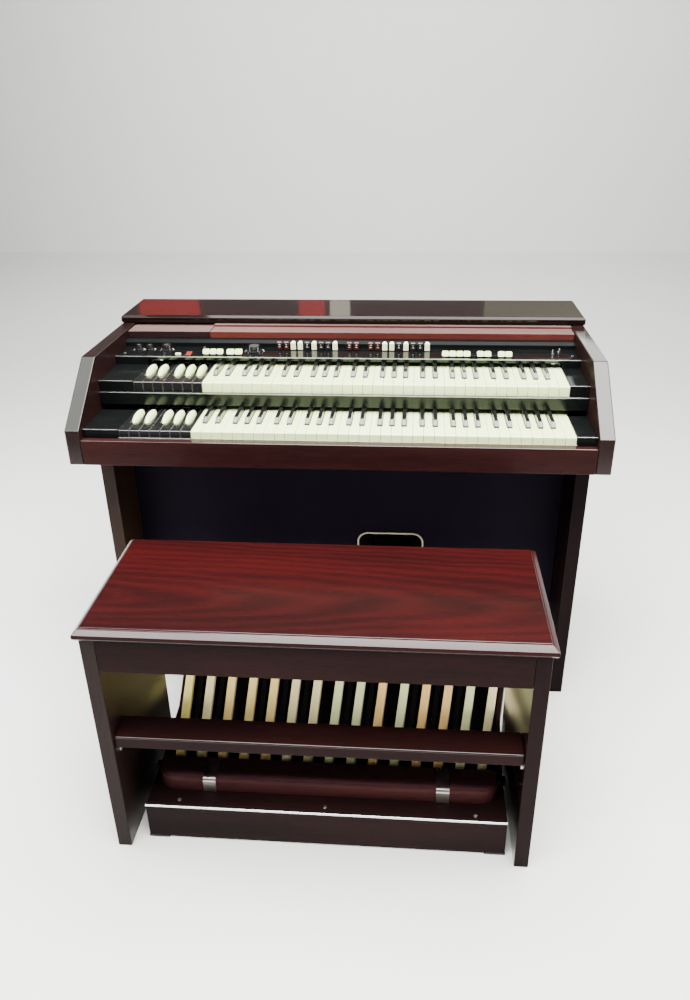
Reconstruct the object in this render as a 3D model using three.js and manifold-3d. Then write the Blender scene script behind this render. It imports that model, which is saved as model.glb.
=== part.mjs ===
// A two-manual console organ with its bench and a 25-note radiating pedalboard.
// Millimetres, +Z up, +X to the player's right, +Y away from the player.
// The origin is on the floor, in the middle of the whole set's outline.
import * as THREE from "three";
import { mergeVertices } from "three/addons/utils/BufferGeometryUtils.js";
import Module from "manifold-3d";

const wasm = await Module();
wasm.setup();

// Fits
const seat_gap = 0.3; // between two pieces that rest on or against each other
const cut_over = 2; // how far a cut runs past the face that it opens
const weld_distance = 1e-4; // corners closer than this are one corner

// Case: lengths run back from the key fronts, heights up from the floor or from the piece below
const arm_bottom_z = 712;
const arm_lead = 22; // how far the arms stand out in front of the lower keys
const arm_thickness = 33.3;
const arm_nose_height = 82;
const arm_slope_depth = 160;
const left_cheek_width = 82.3;
const right_cheek_width = 42.73;
const top_board_overhang = 3.5;
const top_board_back_overhang = 10;
const top_board_depth = 187;
const top_board_thickness = 20;
const top_board_round = 6;
const top_board_under_round = 3;

// Lower case
const leg_side_inset = 13;
const leg_thickness = 33;
const leg_front_inset = 135;
const leg_back_inset = 8;
const key_bed_thickness = 18;
const front_rail_thickness = 19;
const front_rail_height = 60;
const panel_inset = 132;
const panel_thickness = 18;
const panel_bottom_z = 200;
const back_panel_thickness = 12;
const back_panel_bottom_z = 40;

// Keyboards
const octave_width = 165;
const naturals_in_octave = 7;
const playing_naturals = 36;
const lower_key_rise = 78; // key tops over the underside of the case
const upper_key_rise = 68;
const upper_key_inset = 135;
const key_height = 24;
const key_side_gap = 0.9;
const natural_head_depth = 48;
const key_rail_depth = 20;
const key_length = 170;
const sharp_width = 10.5;
const sharp_rise = 12;
const sharp_slope_length = 9;
const sharp_lip = 3; // height of its upright front over the naturals
const sharp_side_gap = 1;
const sharp_front_gap = 2.6;
const sharp_bottom_rise = 6;
const sharp_tail_clearance = 2.6;
const sharp_tail_thickness = 7;
const sharp_rail_depth = 12;
const sharp_body_end = 24; // from its back to the end of its tail
const preset_sharp_width = 14.5;
const preset_sharp_end = 48;

// Key frames and the board between the manuals
const lower_floor_thickness = 12;
const upper_floor_thickness = 6;
const cheek_gap = 0.6;
const cheek_rise = 2;
const lower_cheek_back_y = 125;
const upper_cheek_lap = 28; // how far the upper cheeks run on under the deck's end blocks
const frame_tail = 6; // how far the floor runs on behind the keys
const fulcrum_width = 14;
const fulcrum_fall = 1.2; // its top falls towards the player, clear of a pressed key
const name_board_thickness = 5;
const name_board_lap = 1.5;
const name_board_lift = 1.5;
const name_board_tuck = 1; // how far it rises past the underside of the upper keys

// Control deck, drawbars and cover board
const upper_key_show = 129; // how much of the upper keys lies in front of the deck
const deck_rise = 22; // deck over the upper key tops
const deck_depth = 88.3;
const deck_thickness = 3;
const deck_lip_height = 8;
const deck_lip_thickness = 4;
const drawbar_box_depth = 92;
const drawbar_box_drop = 18;
const drawbar_box_nose_rise = 10;
const drawbar_box_slope_depth = 10;
const cover_board_rise = 16; // underside of the cover board over the deck
const cover_board_inset = 25.4;
const cover_board_thickness = 16;
const cover_board_show = 60; // how much of it lies in front of the top board
const cover_board_tuck = 30;
const cover_seam_share = -0.623; // its place between the middle and the right arm
const cover_seam_width = 1.6;
const cover_seam_depth = 3;
const cover_ledge_height = 5.4;
const cover_ledge_depth = 12;
const drawbar_pitch = 17.6;
const drawbar_group_gap = 35.8;
const drawbar_middle_share = 0.0332;
const drawbar_knob_width = 12.4;
const drawbar_knob_height = 20;
const drawbar_knob_depth = 11;
const drawbar_knob_slope = 3;
const drawbar_knob_lift = 1.6;
const drawbar_reach = 25.6; // knob fronts before the drawbar box
const drawbar_shaft_width = 8;
const drawbar_shaft_height = 4;
const drawbar_shaft_lift = 4.4;
const drawbar_shaft_root = 3; // how far the shaft is let into its knob
const drawbar_tail_gap = 6;
const drawbar_slot_gap = 0.35;
const drawbar_groups = [
  { name: "upper_drawbar", count: 9 },
  { name: "pedal_drawbar", count: 2 },
  { name: "lower_drawbar", count: 9 },
];
const drawbar_tones = ["brown", "brown", "pale", "pale", "dark", "pale", "dark", "dark", "pale"];

// Tabs, knobs and the mains switch; shares of x run from the middle to the right arm
const tab_height = 11;
const tab_thickness = 4;
const tab_lean = 6;
const tab_inset = 16;
const tab_gap = 1;
const tab_lift = 2.4;
const tab_bar_size = 4.6;
const tab_bar_lift = 0.8;
const tab_pitch = 17.3;
const wide_tab_pitch = 20;
const left_tabs_share = -0.6177;
const left_tab_group_gap = 8.1;
const left_tab_groups = [
  { count: 3, pitch: tab_pitch },
  { count: 2, pitch: wide_tab_pitch },
];
const right_tabs_share = 0.4211;
const right_tab_group_gap = 15.5;
const right_tab_groups = [
  { count: 4, pitch: tab_pitch },
  { count: 2, pitch: tab_pitch },
  { count: 2, pitch: tab_pitch },
];
const chorus_knob_gap = 2.5; // between its skirt and the left tabs
const chorus_knob_radius = 15;
const chorus_skirt_radius = 21;
const chorus_knob_height = 15;
const chorus_knob_y_share = 0.589;
const volume_knob_radius = 11;
const volume_skirt_radius = 13.5;
const volume_knob_height = 14;
const tone_knob_radius = 8.5;
const tone_skirt_radius = 10.5;
const tone_knob_height = 13;
const side_knob_y_share = 0.657;
const volume_knob_share = -0.7966;
const treble_knob_share = -0.8738;
const bass_knob_share = -0.923;
const knob_skirt_height = 2.6;
const knob_edge_round = 2;
const knob_segments = 28;
const switch_x_share = -0.6826;
const switch_y_share = 0.249;
const switch_width = 14;
const switch_length = 23;
const switch_depth = 6;
const switch_rise = 4;
const switch_back_depth = 3;
const switch_dip = 2; // how far its middle and its pressed front lie below its raised back
const switch_gap = 0.8;

// Expression pedal and the opening in the knee panel
const shoe_x = 120;
const shoe_width = 110;
const shoe_thickness = 14;
const shoe_heel_length = 100;
const shoe_toe_length = 140;
const shoe_tilt_deg = 40;
const shoe_boss_radius = 9;
const shoe_boss_segments = 20;
const shoe_plate_lift = 4.5; // underside of the plate over the pivot line
const opening_side_gap = 29; // between the shoe and the opening's sides
const opening_sill_rise = 22; // sill over the panel's lower edge
const opening_height = 183;
const opening_corner_width = 32;
const opening_corner_height = 34;
const opening_corner_shares = [[0, 0], [0.2, 0.65], [1, 1]]; // its points, inwards and upwards

// Bench
const bench_x = -6;
const bench_front_y = -462.5;
const bench_top_z = 576;
const bench_side_gap = 4.3; // between its ends and the widest of the pedalboard below
const bench_top_depth = 360;
const bench_top_thickness = 24;
const bench_end_overhang = 9.5;
const bench_end_thickness = 30;
const bench_end_front_inset = 7.5;
const bench_end_back_inset = 10;
const bench_apron_height = 76;
const bench_apron_thickness = 19;
const bench_shelf_top_z = 305;
const bench_shelf_thickness = 29;
const bench_shelf_front_inset = 15;
const bench_shelf_depth = 66;
const bench_edge_inset_shares = [0.15, 0, 0, 0.42, 0.5, 0.56];
const bench_edge_height_shares = [0, 0.2, 0.52, 0.88, 0.88, 1];

// Pedalboard
const pedal_x = 2;
const pedal_heel_y = -309;
const pedal_length = 499;
const pedal_naturals = 15;
const pedal_fan_radius = 1996; // from the point where all pedals would meet to their heels
const pedal_heel_pitch = 48.4;
const pedal_natural_width = 20;
const pedal_natural_top_z = 125;
const pedal_natural_height = 24;
const pedal_rail_depth = 16;
const pedal_rail_height = 15;
const pedal_rail_lead = 7;
const pedal_rail_lap = 3.5; // depth of the heels held by the rail's upstand
const pedal_rail_upstand = 7;
const pedal_sharp_stem_width = 12;
const pedal_sharp_stem_height = 26;
const pedal_sharp_stem_drop = 17;
const pedal_sharp_width = 19;
const pedal_sharp_rise = 27;
const pedal_sharp_block_length = 180;
const pedal_sharp_nose = 12;
const pedal_sharp_rail_back = 4;
const pedal_sharp_rail_depth = 12;
const pedal_sharp_rail_drop = 18;
const pedal_between_share = 0.5; // a raised pedal stands midway between two naturals
const pedal_case_side_gap = 26.2; // between the outer heels and the inside of the walls
const pedal_case_height = 96;
const pedal_foot_height = 6;
const pedal_foot_length = 44;
const pedal_foot_depth = 60;
const pedal_wall = 12;
const pedal_wall_height = 90;
const pedal_waist_lead = 9.5; // the walls turn outwards this far behind the bench's ends
const pedal_waist_side_gap = 3.4;
const pedal_toe_side_gap = 3.4;
const pedal_back_clearance = 15;
const pedal_back_rail_height = 64;
const pedal_back_rail_depth = 30;
const pedal_box_clearance = 4;
const pedal_beam_lead = 12; // how far the rest beam runs on behind the heel rails
const heel_block_gap = 7.5; // between the block and the heels
const heel_block_depth = 63.5;
const heel_block_front_inset = 47;
const heel_block_side_inset = 13;
const heel_block_height = 36;
const heel_block_radius = 44;
const heel_block_nose = 7; // radius of its upper edge
const nose_steps = 6;
const strap_shares = [-0.679, 0.674]; // their places, of half the heel block
const strap_width = 28;
const strap_thickness = 3;
const strap_leg_clearance = 1.5;
const strap_back_inset = 4;

// Finishes, as seen in daylight
const mahogany = { color: 0x431319, roughness: 0.22, metalness: 0 };
const dark_mahogany = { color: 0x2a1117, roughness: 0.25, metalness: 0 };
const knee_panel_navy = { color: 0x120f18, roughness: 0.55, metalness: 0 };
const gloss_black = { color: 0x0d0e10, roughness: 0.15, metalness: 0 };
const black_wood = { color: 0x0e0e0f, roughness: 0.35, metalness: 0 };
const black_metal = { color: 0x17171a, roughness: 0.4, metalness: 0.5 };
const ivory = { color: 0xf1efe2, roughness: 0.3, metalness: 0 };
const drawbar_brown = { color: 0x5a2418, roughness: 0.35, metalness: 0 };
const maple = { color: 0xd9c592, roughness: 0.4, metalness: 0 };
const steel = { color: 0xb9b7b2, roughness: 0.25, metalness: 1 };
const signal_red = { color: 0xa5332c, roughness: 0.3, metalness: 0 };

// Sizes that follow from the ones above, from the keys outwards
const natural_pitch = octave_width / naturals_in_octave;
const playing_width = playing_naturals * natural_pitch;
const keys_width = octave_width + playing_width + 2 * cheek_gap;
const inner_x = (left_cheek_width + keys_width + right_cheek_width) / 2;
const half_case = inner_x + seat_gap + arm_thickness;
const preset_left_x = -inner_x + left_cheek_width + cheek_gap;
const playing_left_x = preset_left_x + octave_width;
const playing_right_x = playing_left_x + playing_width;
const leg_outer_x = half_case - leg_side_inset;
const leg_inner_x = leg_outer_x - leg_thickness;

const lower_key_top_z = arm_bottom_z + lower_key_rise;
const upper_key_top_z = lower_key_top_z + upper_key_rise;
const deck_top_z = upper_key_top_z + deck_rise;
const cover_board_bottom_z = deck_top_z + cover_board_rise;
const cover_board_top_z = cover_board_bottom_z + cover_board_thickness;
const arm_top_z = cover_board_top_z + cover_ledge_height + 2 * seat_gap;
const arm_nose_z = arm_bottom_z + arm_nose_height;
const key_bed_top_z = arm_bottom_z + key_bed_thickness;

const arm_front_y = -arm_lead;
const deck_front_y = upper_key_inset + upper_key_show;
const deck_back_y = deck_front_y + deck_depth;
const drawbar_box_front_y = deck_back_y + seat_gap;
const drawbar_knob_front_y = drawbar_box_front_y - drawbar_reach;
const cover_board_front_y = drawbar_box_front_y + cover_board_inset;
const top_board_front_y = cover_board_front_y + cover_board_show;
const set_end_y = top_board_front_y + top_board_depth;
const case_back_y = set_end_y - top_board_back_overhang;
const leg_front_y = arm_front_y + leg_front_inset;
const leg_back_y = case_back_y - leg_back_inset;
const panel_front_y = leg_front_y + panel_inset;
const cover_seam_x = cover_seam_share * inner_x;
const opening_sill_z = panel_bottom_z + opening_sill_rise;
const centre_shift_y = -(bench_front_y + set_end_y) / 2;
const drawbar_finishes = { brown: drawbar_brown, pale: ivory, dark: gloss_black };

const organ = new THREE.Group();
organ.position.y = centre_shift_y;

// Adds one named piece to the organ.
function addPiece(name, geometry, finish) {
  const mesh = new THREE.Mesh(geometry, new THREE.MeshStandardMaterial(finish));
  mesh.name = name;
  organ.add(mesh);
}

// A plain block between two corners.
function block(x0, x1, y0, y1, z0, z1) {
  const geometry = new THREE.BoxGeometry(x1 - x0, y1 - y0, z1 - z0);
  return geometry.translate((x0 + x1) / 2, (y0 + y1) / 2, (z0 + z1) / 2);
}

// An outline of [y, z] points, extruded from x0 to x1.
function alongX(points, x0, x1) {
  const shape = new THREE.Shape(points.map(([y, z]) => new THREE.Vector2(y, z)));
  const geometry = new THREE.ExtrudeGeometry(shape, { depth: x1 - x0, bevelEnabled: false });
  const turn = new THREE.Matrix4().set(0, 0, 1, x0, 1, 0, 0, 0, 0, 1, 0, 0, 0, 0, 0, 1);
  return geometry.applyMatrix4(turn);
}

// An outline of [x, y] points, or a shape, extruded upwards from z0 to z1.
function upwards(outline, z0, z1) {
  const shape = outline instanceof THREE.Shape
    ? outline
    : new THREE.Shape(outline.map(([x, y]) => new THREE.Vector2(x, y)));
  const geometry = new THREE.ExtrudeGeometry(shape, { depth: z1 - z0, bevelEnabled: false });
  return geometry.translate(0, 0, z0);
}

// An outline of [x, z] points with an optional hole, extruded from y0 to y1.
function alongY(points, y0, y1, hole) {
  const shape = new THREE.Shape(points.map(([x, z]) => new THREE.Vector2(x, z)));
  if (hole) shape.holes.push(new THREE.Path(hole.map(([x, z]) => new THREE.Vector2(x, z))));
  const geometry = new THREE.ExtrudeGeometry(shape, { depth: y1 - y0, bevelEnabled: false });
  return geometry.rotateX(Math.PI / 2).translate(0, y1, 0);
}

// A board whose rectangular outline changes with height: [x0, x1, y0, y1, z] per level.
function levelled(levels) {
  const positions = [];
  const index = [];
  for (const [x0, x1, y0, y1, z] of levels) {
    positions.push(x0, y0, z, x1, y0, z, x1, y1, z, x0, y1, z);
  }
  const top = 4 * (levels.length - 1);
  for (let level = 0; level < top; level += 4) {
    for (let side = 0; side < 4; side += 1) {
      const a = level + side;
      const b = level + ((side + 1) % 4);
      index.push(a, b, b + 4, a, b + 4, a + 4);
    }
  }
  index.push(0, 2, 1, 0, 3, 2);
  index.push(top, top + 1, top + 2, top, top + 2, top + 3);
  const geometry = new THREE.BufferGeometry();
  geometry.setAttribute("position", new THREE.Float32BufferAttribute(positions, 3));
  geometry.setIndex(index);
  return geometry;
}

// A round piece standing on z, turned from a profile of [radius, height] points.
function turned(profile, x, y, z) {
  const points = profile.map(([radius, height]) => new THREE.Vector2(radius, height));
  const geometry = new THREE.LatheGeometry(points, knob_segments);
  return geometry.rotateX(Math.PI / 2).translate(x, y, z);
}

// A closed geometry as a solid that can be joined and cut.
function solidOf(geometry) {
  const bare = geometry.clone();
  bare.deleteAttribute("normal");
  bare.deleteAttribute("uv");
  const merged = mergeVertices(bare, weld_distance);
  return new wasm.Manifold(
    new wasm.Mesh({
      numProp: 3,
      vertProperties: merged.attributes.position.array,
      triVerts: new Uint32Array(merged.index.array),
    }),
  );
}

// A solid's surface as a geometry again.
function geometryOf(solid) {
  const mesh = solid.getMesh();
  const geometry = new THREE.BufferGeometry();
  geometry.setAttribute("position", new THREE.BufferAttribute(mesh.vertProperties, 3));
  geometry.setIndex(new THREE.BufferAttribute(mesh.triVerts, 1));
  return geometry;
}

// The geometries joined into one body.
function joined(geometries) {
  return geometryOf(geometries.map(solidOf).reduce((whole, next) => whole.add(next)));
}

// A geometry with others cut away from it.
function cutBy(geometry, cutters) {
  return geometryOf(cutters.map(solidOf).reduce((whole, next) => whole.subtract(next), solidOf(geometry)));
}

// The two end arms of the upper case, with their sloping noses.
function addArms() {
  const profile = [
    [arm_front_y, arm_bottom_z],
    [case_back_y, arm_bottom_z],
    [case_back_y, arm_top_z - seat_gap],
    [arm_front_y + arm_slope_depth, arm_top_z - seat_gap],
    [arm_front_y, arm_nose_z],
  ];
  addPiece("left_arm", alongX(profile, -half_case, -half_case + arm_thickness), mahogany);
  addPiece("right_arm", alongX(profile, half_case - arm_thickness, half_case), mahogany);
}

// The top board, with a rounded moulding on its front and ends.
function addTopBoard() {
  const x = half_case + top_board_overhang;
  const level = (inset, z) => [-x + inset, x - inset, top_board_front_y + inset, set_end_y, z];
  const top_z = arm_top_z + top_board_thickness;
  const levels = [
    level(top_board_under_round, arm_top_z),
    level(0, arm_top_z + top_board_under_round),
    level(0, top_z - top_board_round),
    level(top_board_round, top_z),
  ];
  addPiece("top_board", levelled(levels), mahogany);
}

// The slab legs, key bed, front rail, knee panel and back panel of the lower case.
function addLowerCase() {
  const leg_top = arm_bottom_z - seat_gap;
  const left_leg = block(-leg_outer_x, -leg_inner_x, leg_front_y, leg_back_y, 0, leg_top);
  addPiece("left_leg", left_leg, dark_mahogany);
  const right_leg = block(leg_inner_x, leg_outer_x, leg_front_y, leg_back_y, 0, leg_top);
  addPiece("right_leg", right_leg, dark_mahogany);
  const bed_front = arm_front_y + front_rail_thickness + seat_gap;
  const back_panel_front = leg_back_y - back_panel_thickness;
  const bed_back = back_panel_front - seat_gap;
  const bed = block(-inner_x, inner_x, bed_front, bed_back, arm_bottom_z, key_bed_top_z);
  addPiece("key_bed", bed, dark_mahogany);
  const rail_back = arm_front_y + front_rail_thickness;
  const rail_top = arm_bottom_z + front_rail_height;
  const rail = block(-inner_x, inner_x, arm_front_y, rail_back, arm_bottom_z, rail_top);
  addPiece("front_rail", rail, mahogany);
  const x = leg_inner_x - seat_gap;
  const panel = [[-x, panel_bottom_z], [x, panel_bottom_z], [x, leg_top], [-x, leg_top]];
  const panel_back_y = panel_front_y + panel_thickness;
  addPiece("knee_panel", alongY(panel, panel_front_y, panel_back_y, openingOutline()), knee_panel_navy);
  const back_top = arm_top_z - seat_gap;
  const back = block(-x, x, back_panel_front, leg_back_y, back_panel_bottom_z, back_top);
  addPiece("back_panel", back, dark_mahogany);
}

// The outline of the expression pedal's opening, with two chamfers at each upper corner.
function openingOutline() {
  const half = shoe_width / 2 + opening_side_gap;
  const shoulder_z = opening_sill_z + opening_height - opening_corner_height;
  const corner = (side) =>
    opening_corner_shares.map(([inwards, upwards_share]) => [
      shoe_x + side * (half - inwards * opening_corner_width),
      shoulder_z + upwards_share * opening_corner_height,
    ]);
  return [
    [shoe_x - half, opening_sill_z],
    [shoe_x + half, opening_sill_z],
    ...corner(1),
    ...corner(-1).reverse(),
  ];
}

// The rocking shoe that reaches through the opening of the knee panel.
function addExpressionPedal() {
  const pivot_y = panel_front_y + panel_thickness / 2;
  const pivot_z = opening_sill_z + seat_gap + shoe_boss_radius;
  const tilt = THREE.MathUtils.degToRad(shoe_tilt_deg);
  const place = (along, up) => [
    pivot_y + along * Math.cos(tilt) - up * Math.sin(tilt),
    pivot_z + along * Math.sin(tilt) + up * Math.cos(tilt),
  ];
  const profile = [
    place(-shoe_heel_length, shoe_plate_lift),
    place(shoe_toe_length, shoe_plate_lift),
    place(shoe_toe_length, shoe_plate_lift + shoe_thickness),
    place(-shoe_heel_length, shoe_plate_lift + shoe_thickness),
  ];
  const plate = alongX(profile, shoe_x - shoe_width / 2, shoe_x + shoe_width / 2);
  const radius = shoe_boss_radius;
  const boss = new THREE.CylinderGeometry(radius, radius, shoe_width, shoe_boss_segments);
  boss.rotateZ(Math.PI / 2).translate(shoe_x, pivot_y, pivot_z);
  addPiece("expression_pedal", joined([plate, boss]), black_metal);
}

// Where the raised keys stand in an octave: the natural on their left, and their offset.
const octave_sharps = [
  { after: 0, offset_share: -0.12 },
  { after: 1, offset_share: 0.12 },
  { after: 3, offset_share: -0.16 },
  { after: 4, offset_share: 0 },
  { after: 5, offset_share: 0.16 },
];

// The centre line of each raised key of a run of naturals, and the natural before it.
function sharpsOf(left_x, natural_count) {
  const found = [];
  for (let first = 0; first < natural_count; first += naturals_in_octave) {
    for (const sharp of octave_sharps) {
      const after = first + sharp.after;
      if (after + 1 >= natural_count) continue;
      found.push({ after, x: left_x + (after + 1 + sharp.offset_share) * natural_pitch });
    }
  }
  return found;
}

// The plan outline of a run of naturals, joined along a rail behind their tails.
function naturalsOutline(left_x, natural_count, front_y, width_of_sharp) {
  const half_gap = key_side_gap / 2;
  const notch_half = width_of_sharp / 2 + sharp_side_gap;
  const sharps = sharpsOf(left_x, natural_count);
  const head_y = front_y + natural_head_depth;
  const rail_y = front_y + key_length - key_rail_depth;
  const points = [];
  for (let i = 0; i < natural_count; i += 1) {
    const x0 = left_x + i * natural_pitch + half_gap;
    const x1 = left_x + (i + 1) * natural_pitch - half_gap;
    points.push([x0, front_y], [x1, front_y]);
    if (i === natural_count - 1) break;
    const sharp = sharps.find((one) => one.after === i);
    if (sharp) {
      points.push([x1, head_y], [sharp.x - notch_half, head_y], [sharp.x - notch_half, rail_y]);
      points.push([sharp.x + notch_half, rail_y], [sharp.x + notch_half, head_y]);
      points.push([x1 + key_side_gap, head_y]);
    } else {
      points.push([x1, rail_y], [x1 + key_side_gap, rail_y]);
    }
  }
  const right_x = left_x + natural_count * natural_pitch - half_gap;
  points.push([right_x, front_y + key_length], [left_x + half_gap, front_y + key_length]);
  return points;
}

// A set of naturals: one comb, pressed as one, because they share one joint.
function naturalsComb(left_x, natural_count, front_y, top_z, width_of_sharp) {
  const outline = naturalsOutline(left_x, natural_count, front_y, width_of_sharp);
  return upwards(outline, top_z - key_height, top_z);
}

// A raised key's body: upright lip, sloping front, flat top and sloping back.
function raisedKey(x, width, front_y, top_z, length_to_back) {
  const front = front_y + natural_head_depth + sharp_front_gap;
  const back = front_y + length_to_back;
  const bottom = top_z - key_height + sharp_bottom_rise;
  const crest = top_z + sharp_rise;
  const profile = [
    [front, bottom],
    [back, bottom],
    [back, top_z + sharp_lip],
    [back - sharp_slope_length, crest],
    [front + sharp_slope_length, crest],
    [front, top_z + sharp_lip],
  ];
  return alongX(profile, x - width / 2, x + width / 2);
}

// The raised playing keys: each one's tail passes over the naturals' rail to a rail of its own.
function sharpsComb(front_y, top_z) {
  const sharps = sharpsOf(playing_left_x, playing_naturals);
  const half = sharp_width / 2;
  const back = front_y + key_length;
  const body_length = key_length - sharp_body_end;
  const tail_front = front_y + body_length - sharp_slope_length;
  const tail_bottom = top_z + sharp_tail_clearance;
  const tail_top = tail_bottom + sharp_tail_thickness;
  const pieces = sharps.flatMap(({ x }) => [
    raisedKey(x, sharp_width, front_y, top_z, body_length),
    block(x - half, x + half, tail_front, back, tail_bottom, tail_top),
  ]);
  const rail_x0 = sharps[0].x - half;
  const rail_x1 = sharps[sharps.length - 1].x + half;
  pieces.push(block(rail_x0, rail_x1, back - sharp_rail_depth, back, tail_bottom, tail_top));
  return joined(pieces);
}

// The twelve preset keys of one manual: dark naturals and pale raised keys on one rail.
function presetComb(front_y, top_z) {
  const naturals = naturalsComb(preset_left_x, naturals_in_octave, front_y, top_z, preset_sharp_width);
  const half = preset_sharp_width / 2;
  const body_length = key_length - preset_sharp_end;
  const tail_front = front_y + body_length - sharp_slope_length;
  const tail_back = front_y + key_length - key_rail_depth + key_side_gap;
  const tail_bottom = top_z - key_height + sharp_bottom_rise;
  const tail_top = tail_bottom + sharp_tail_thickness;
  const keys = sharpsOf(preset_left_x, naturals_in_octave).flatMap(({ x }) => [
    raisedKey(x, preset_sharp_width, front_y, top_z, body_length),
    block(x - half, x + half, tail_front, tail_back, tail_bottom, tail_top),
  ]);
  return joined([naturals, ...keys]);
}

// The naturals, raised keys and presets of both manuals.
function addManuals() {
  const manuals = [
    { name: "lower", front_y: 0, top_z: lower_key_top_z },
    { name: "upper", front_y: upper_key_inset, top_z: upper_key_top_z },
  ];
  for (const { name, front_y, top_z } of manuals) {
    const naturals = naturalsComb(playing_left_x, playing_naturals, front_y, top_z, sharp_width);
    addPiece(name + "_naturals", naturals, ivory);
    addPiece(name + "_sharps", sharpsComb(front_y, top_z), gloss_black);
    addPiece(name + "_presets", presetComb(front_y, top_z), gloss_black);
  }
}

// A key frame: floor, cheek blocks beside the keys, and the rail that the keys rock on.
function keyFrame({ keys_front, top_z, floor_front, floor_z, floor_thickness, cheek_front, cheek_back }) {
  const floor_top = floor_z + floor_thickness;
  const cheek_top = top_z + cheek_rise;
  const key_left = preset_left_x - cheek_gap;
  const key_right = playing_right_x + cheek_gap;
  const rail_back = keys_front + key_length;
  const floor_back = rail_back + frame_tail;
  const rail_front = rail_back - fulcrum_width;
  const rail_top = top_z - key_height - seat_gap;
  const rail = [
    [rail_front, floor_z],
    [rail_back, floor_z],
    [rail_back, rail_top],
    [rail_front, rail_top - fulcrum_fall],
  ];
  return [
    block(-inner_x, inner_x, floor_front, floor_back, floor_z, floor_top),
    block(-inner_x, key_left, cheek_front, cheek_back, floor_z, cheek_top),
    block(key_right, inner_x, cheek_front, cheek_back, floor_z, cheek_top),
    alongX(rail, -inner_x, inner_x),
  ];
}

// The lower frame stands on the key bed; the glossy name board closes the front of the upper one.
function addKeyFrames() {
  const lower_front = arm_front_y + front_rail_thickness + seat_gap;
  const lower = keyFrame({
    keys_front: 0,
    top_z: lower_key_top_z,
    floor_front: lower_front,
    floor_z: key_bed_top_z + seat_gap,
    floor_thickness: lower_floor_thickness,
    cheek_front: lower_front,
    cheek_back: lower_cheek_back_y,
  });
  addPiece("lower_key_frame", joined(lower), gloss_black);
  const board_back = upper_key_inset - name_board_lap;
  const board_front = board_back - name_board_thickness;
  const board_bottom = lower_key_top_z + sharp_rise + name_board_lift;
  const board_top = upper_key_top_z - key_height + name_board_tuck;
  const upper = keyFrame({
    keys_front: upper_key_inset,
    top_z: upper_key_top_z,
    floor_front: board_back + seat_gap,
    floor_z: board_bottom,
    floor_thickness: upper_floor_thickness,
    cheek_front: board_back + seat_gap,
    cheek_back: deck_front_y + upper_cheek_lap,
  });
  addPiece("upper_key_frame", joined(upper), gloss_black);
  const name_board = block(-inner_x, inner_x, board_front, board_back, board_bottom, board_top);
  addPiece("name_board", name_board, gloss_black);
}

// The glossy deck over the upper keys, with end blocks that stand on the cheeks.
function addControlDeck() {
  const plate_bottom = deck_top_z - deck_thickness;
  const plate = block(-inner_x, inner_x, deck_front_y, deck_back_y, plate_bottom, deck_top_z);
  const lip_back = deck_front_y + deck_lip_thickness;
  const lip = block(-inner_x, inner_x, deck_front_y, lip_back, deck_top_z - deck_lip_height, deck_top_z);
  const foot_z = upper_key_top_z + cheek_rise + seat_gap;
  const key_left = preset_left_x - cheek_gap;
  const key_right = playing_right_x + cheek_gap;
  const left_foot = block(-inner_x, key_left, deck_front_y, deck_back_y, foot_z, deck_top_z);
  const right_foot = block(key_right, inner_x, deck_front_y, deck_back_y, foot_z, deck_top_z);
  const half_width = switch_width / 2 + switch_gap;
  const half_length = switch_length / 2 + switch_gap;
  const well = block(
    switch_x - half_width,
    switch_x + half_width,
    switch_y - half_length,
    switch_y + half_length,
    plate_bottom - cut_over,
    deck_top_z + cut_over,
  );
  addPiece("control_deck", cutBy(joined([plate, lip, left_foot, right_foot]), [well]), gloss_black);
}

// The drawbars' places from left to right, with their names and tones.
function drawbarPlaces() {
  const places = [];
  let x = 0;
  for (const { name, count } of drawbar_groups) {
    for (let i = 0; i < count; i += 1) {
      places.push({ name: name + "_" + (i + 1), x, tone: drawbar_tones[i] });
      x += drawbar_pitch;
    }
    x += drawbar_group_gap - drawbar_pitch;
  }
  const shift = drawbar_middle_share * inner_x - places[places.length - 1].x / 2;
  return places.map((place) => ({ ...place, x: place.x + shift }));
}

// The box that the drawbars slide in, with a slot for each.
function addDrawbarBox() {
  const back = drawbar_box_front_y + drawbar_box_depth;
  const top = cover_board_bottom_z - seat_gap;
  const profile = [
    [drawbar_box_front_y, deck_top_z - drawbar_box_drop],
    [back, deck_top_z - drawbar_box_drop],
    [back, top],
    [drawbar_box_front_y + drawbar_box_slope_depth, top],
    [drawbar_box_front_y, deck_top_z + drawbar_box_nose_rise],
  ];
  const half = drawbar_shaft_width / 2 + drawbar_slot_gap;
  const slot_bottom = deck_top_z + drawbar_shaft_lift - drawbar_slot_gap;
  const slot_top = deck_top_z + drawbar_shaft_lift + drawbar_shaft_height + drawbar_slot_gap;
  const slots = drawbarPlaces().map(({ x }) =>
    block(x - half, x + half, drawbar_box_front_y - cut_over, back + cut_over, slot_bottom, slot_top),
  );
  addPiece("drawbar_box", cutBy(alongX(profile, -inner_x, inner_x), slots), gloss_black);
}

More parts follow.
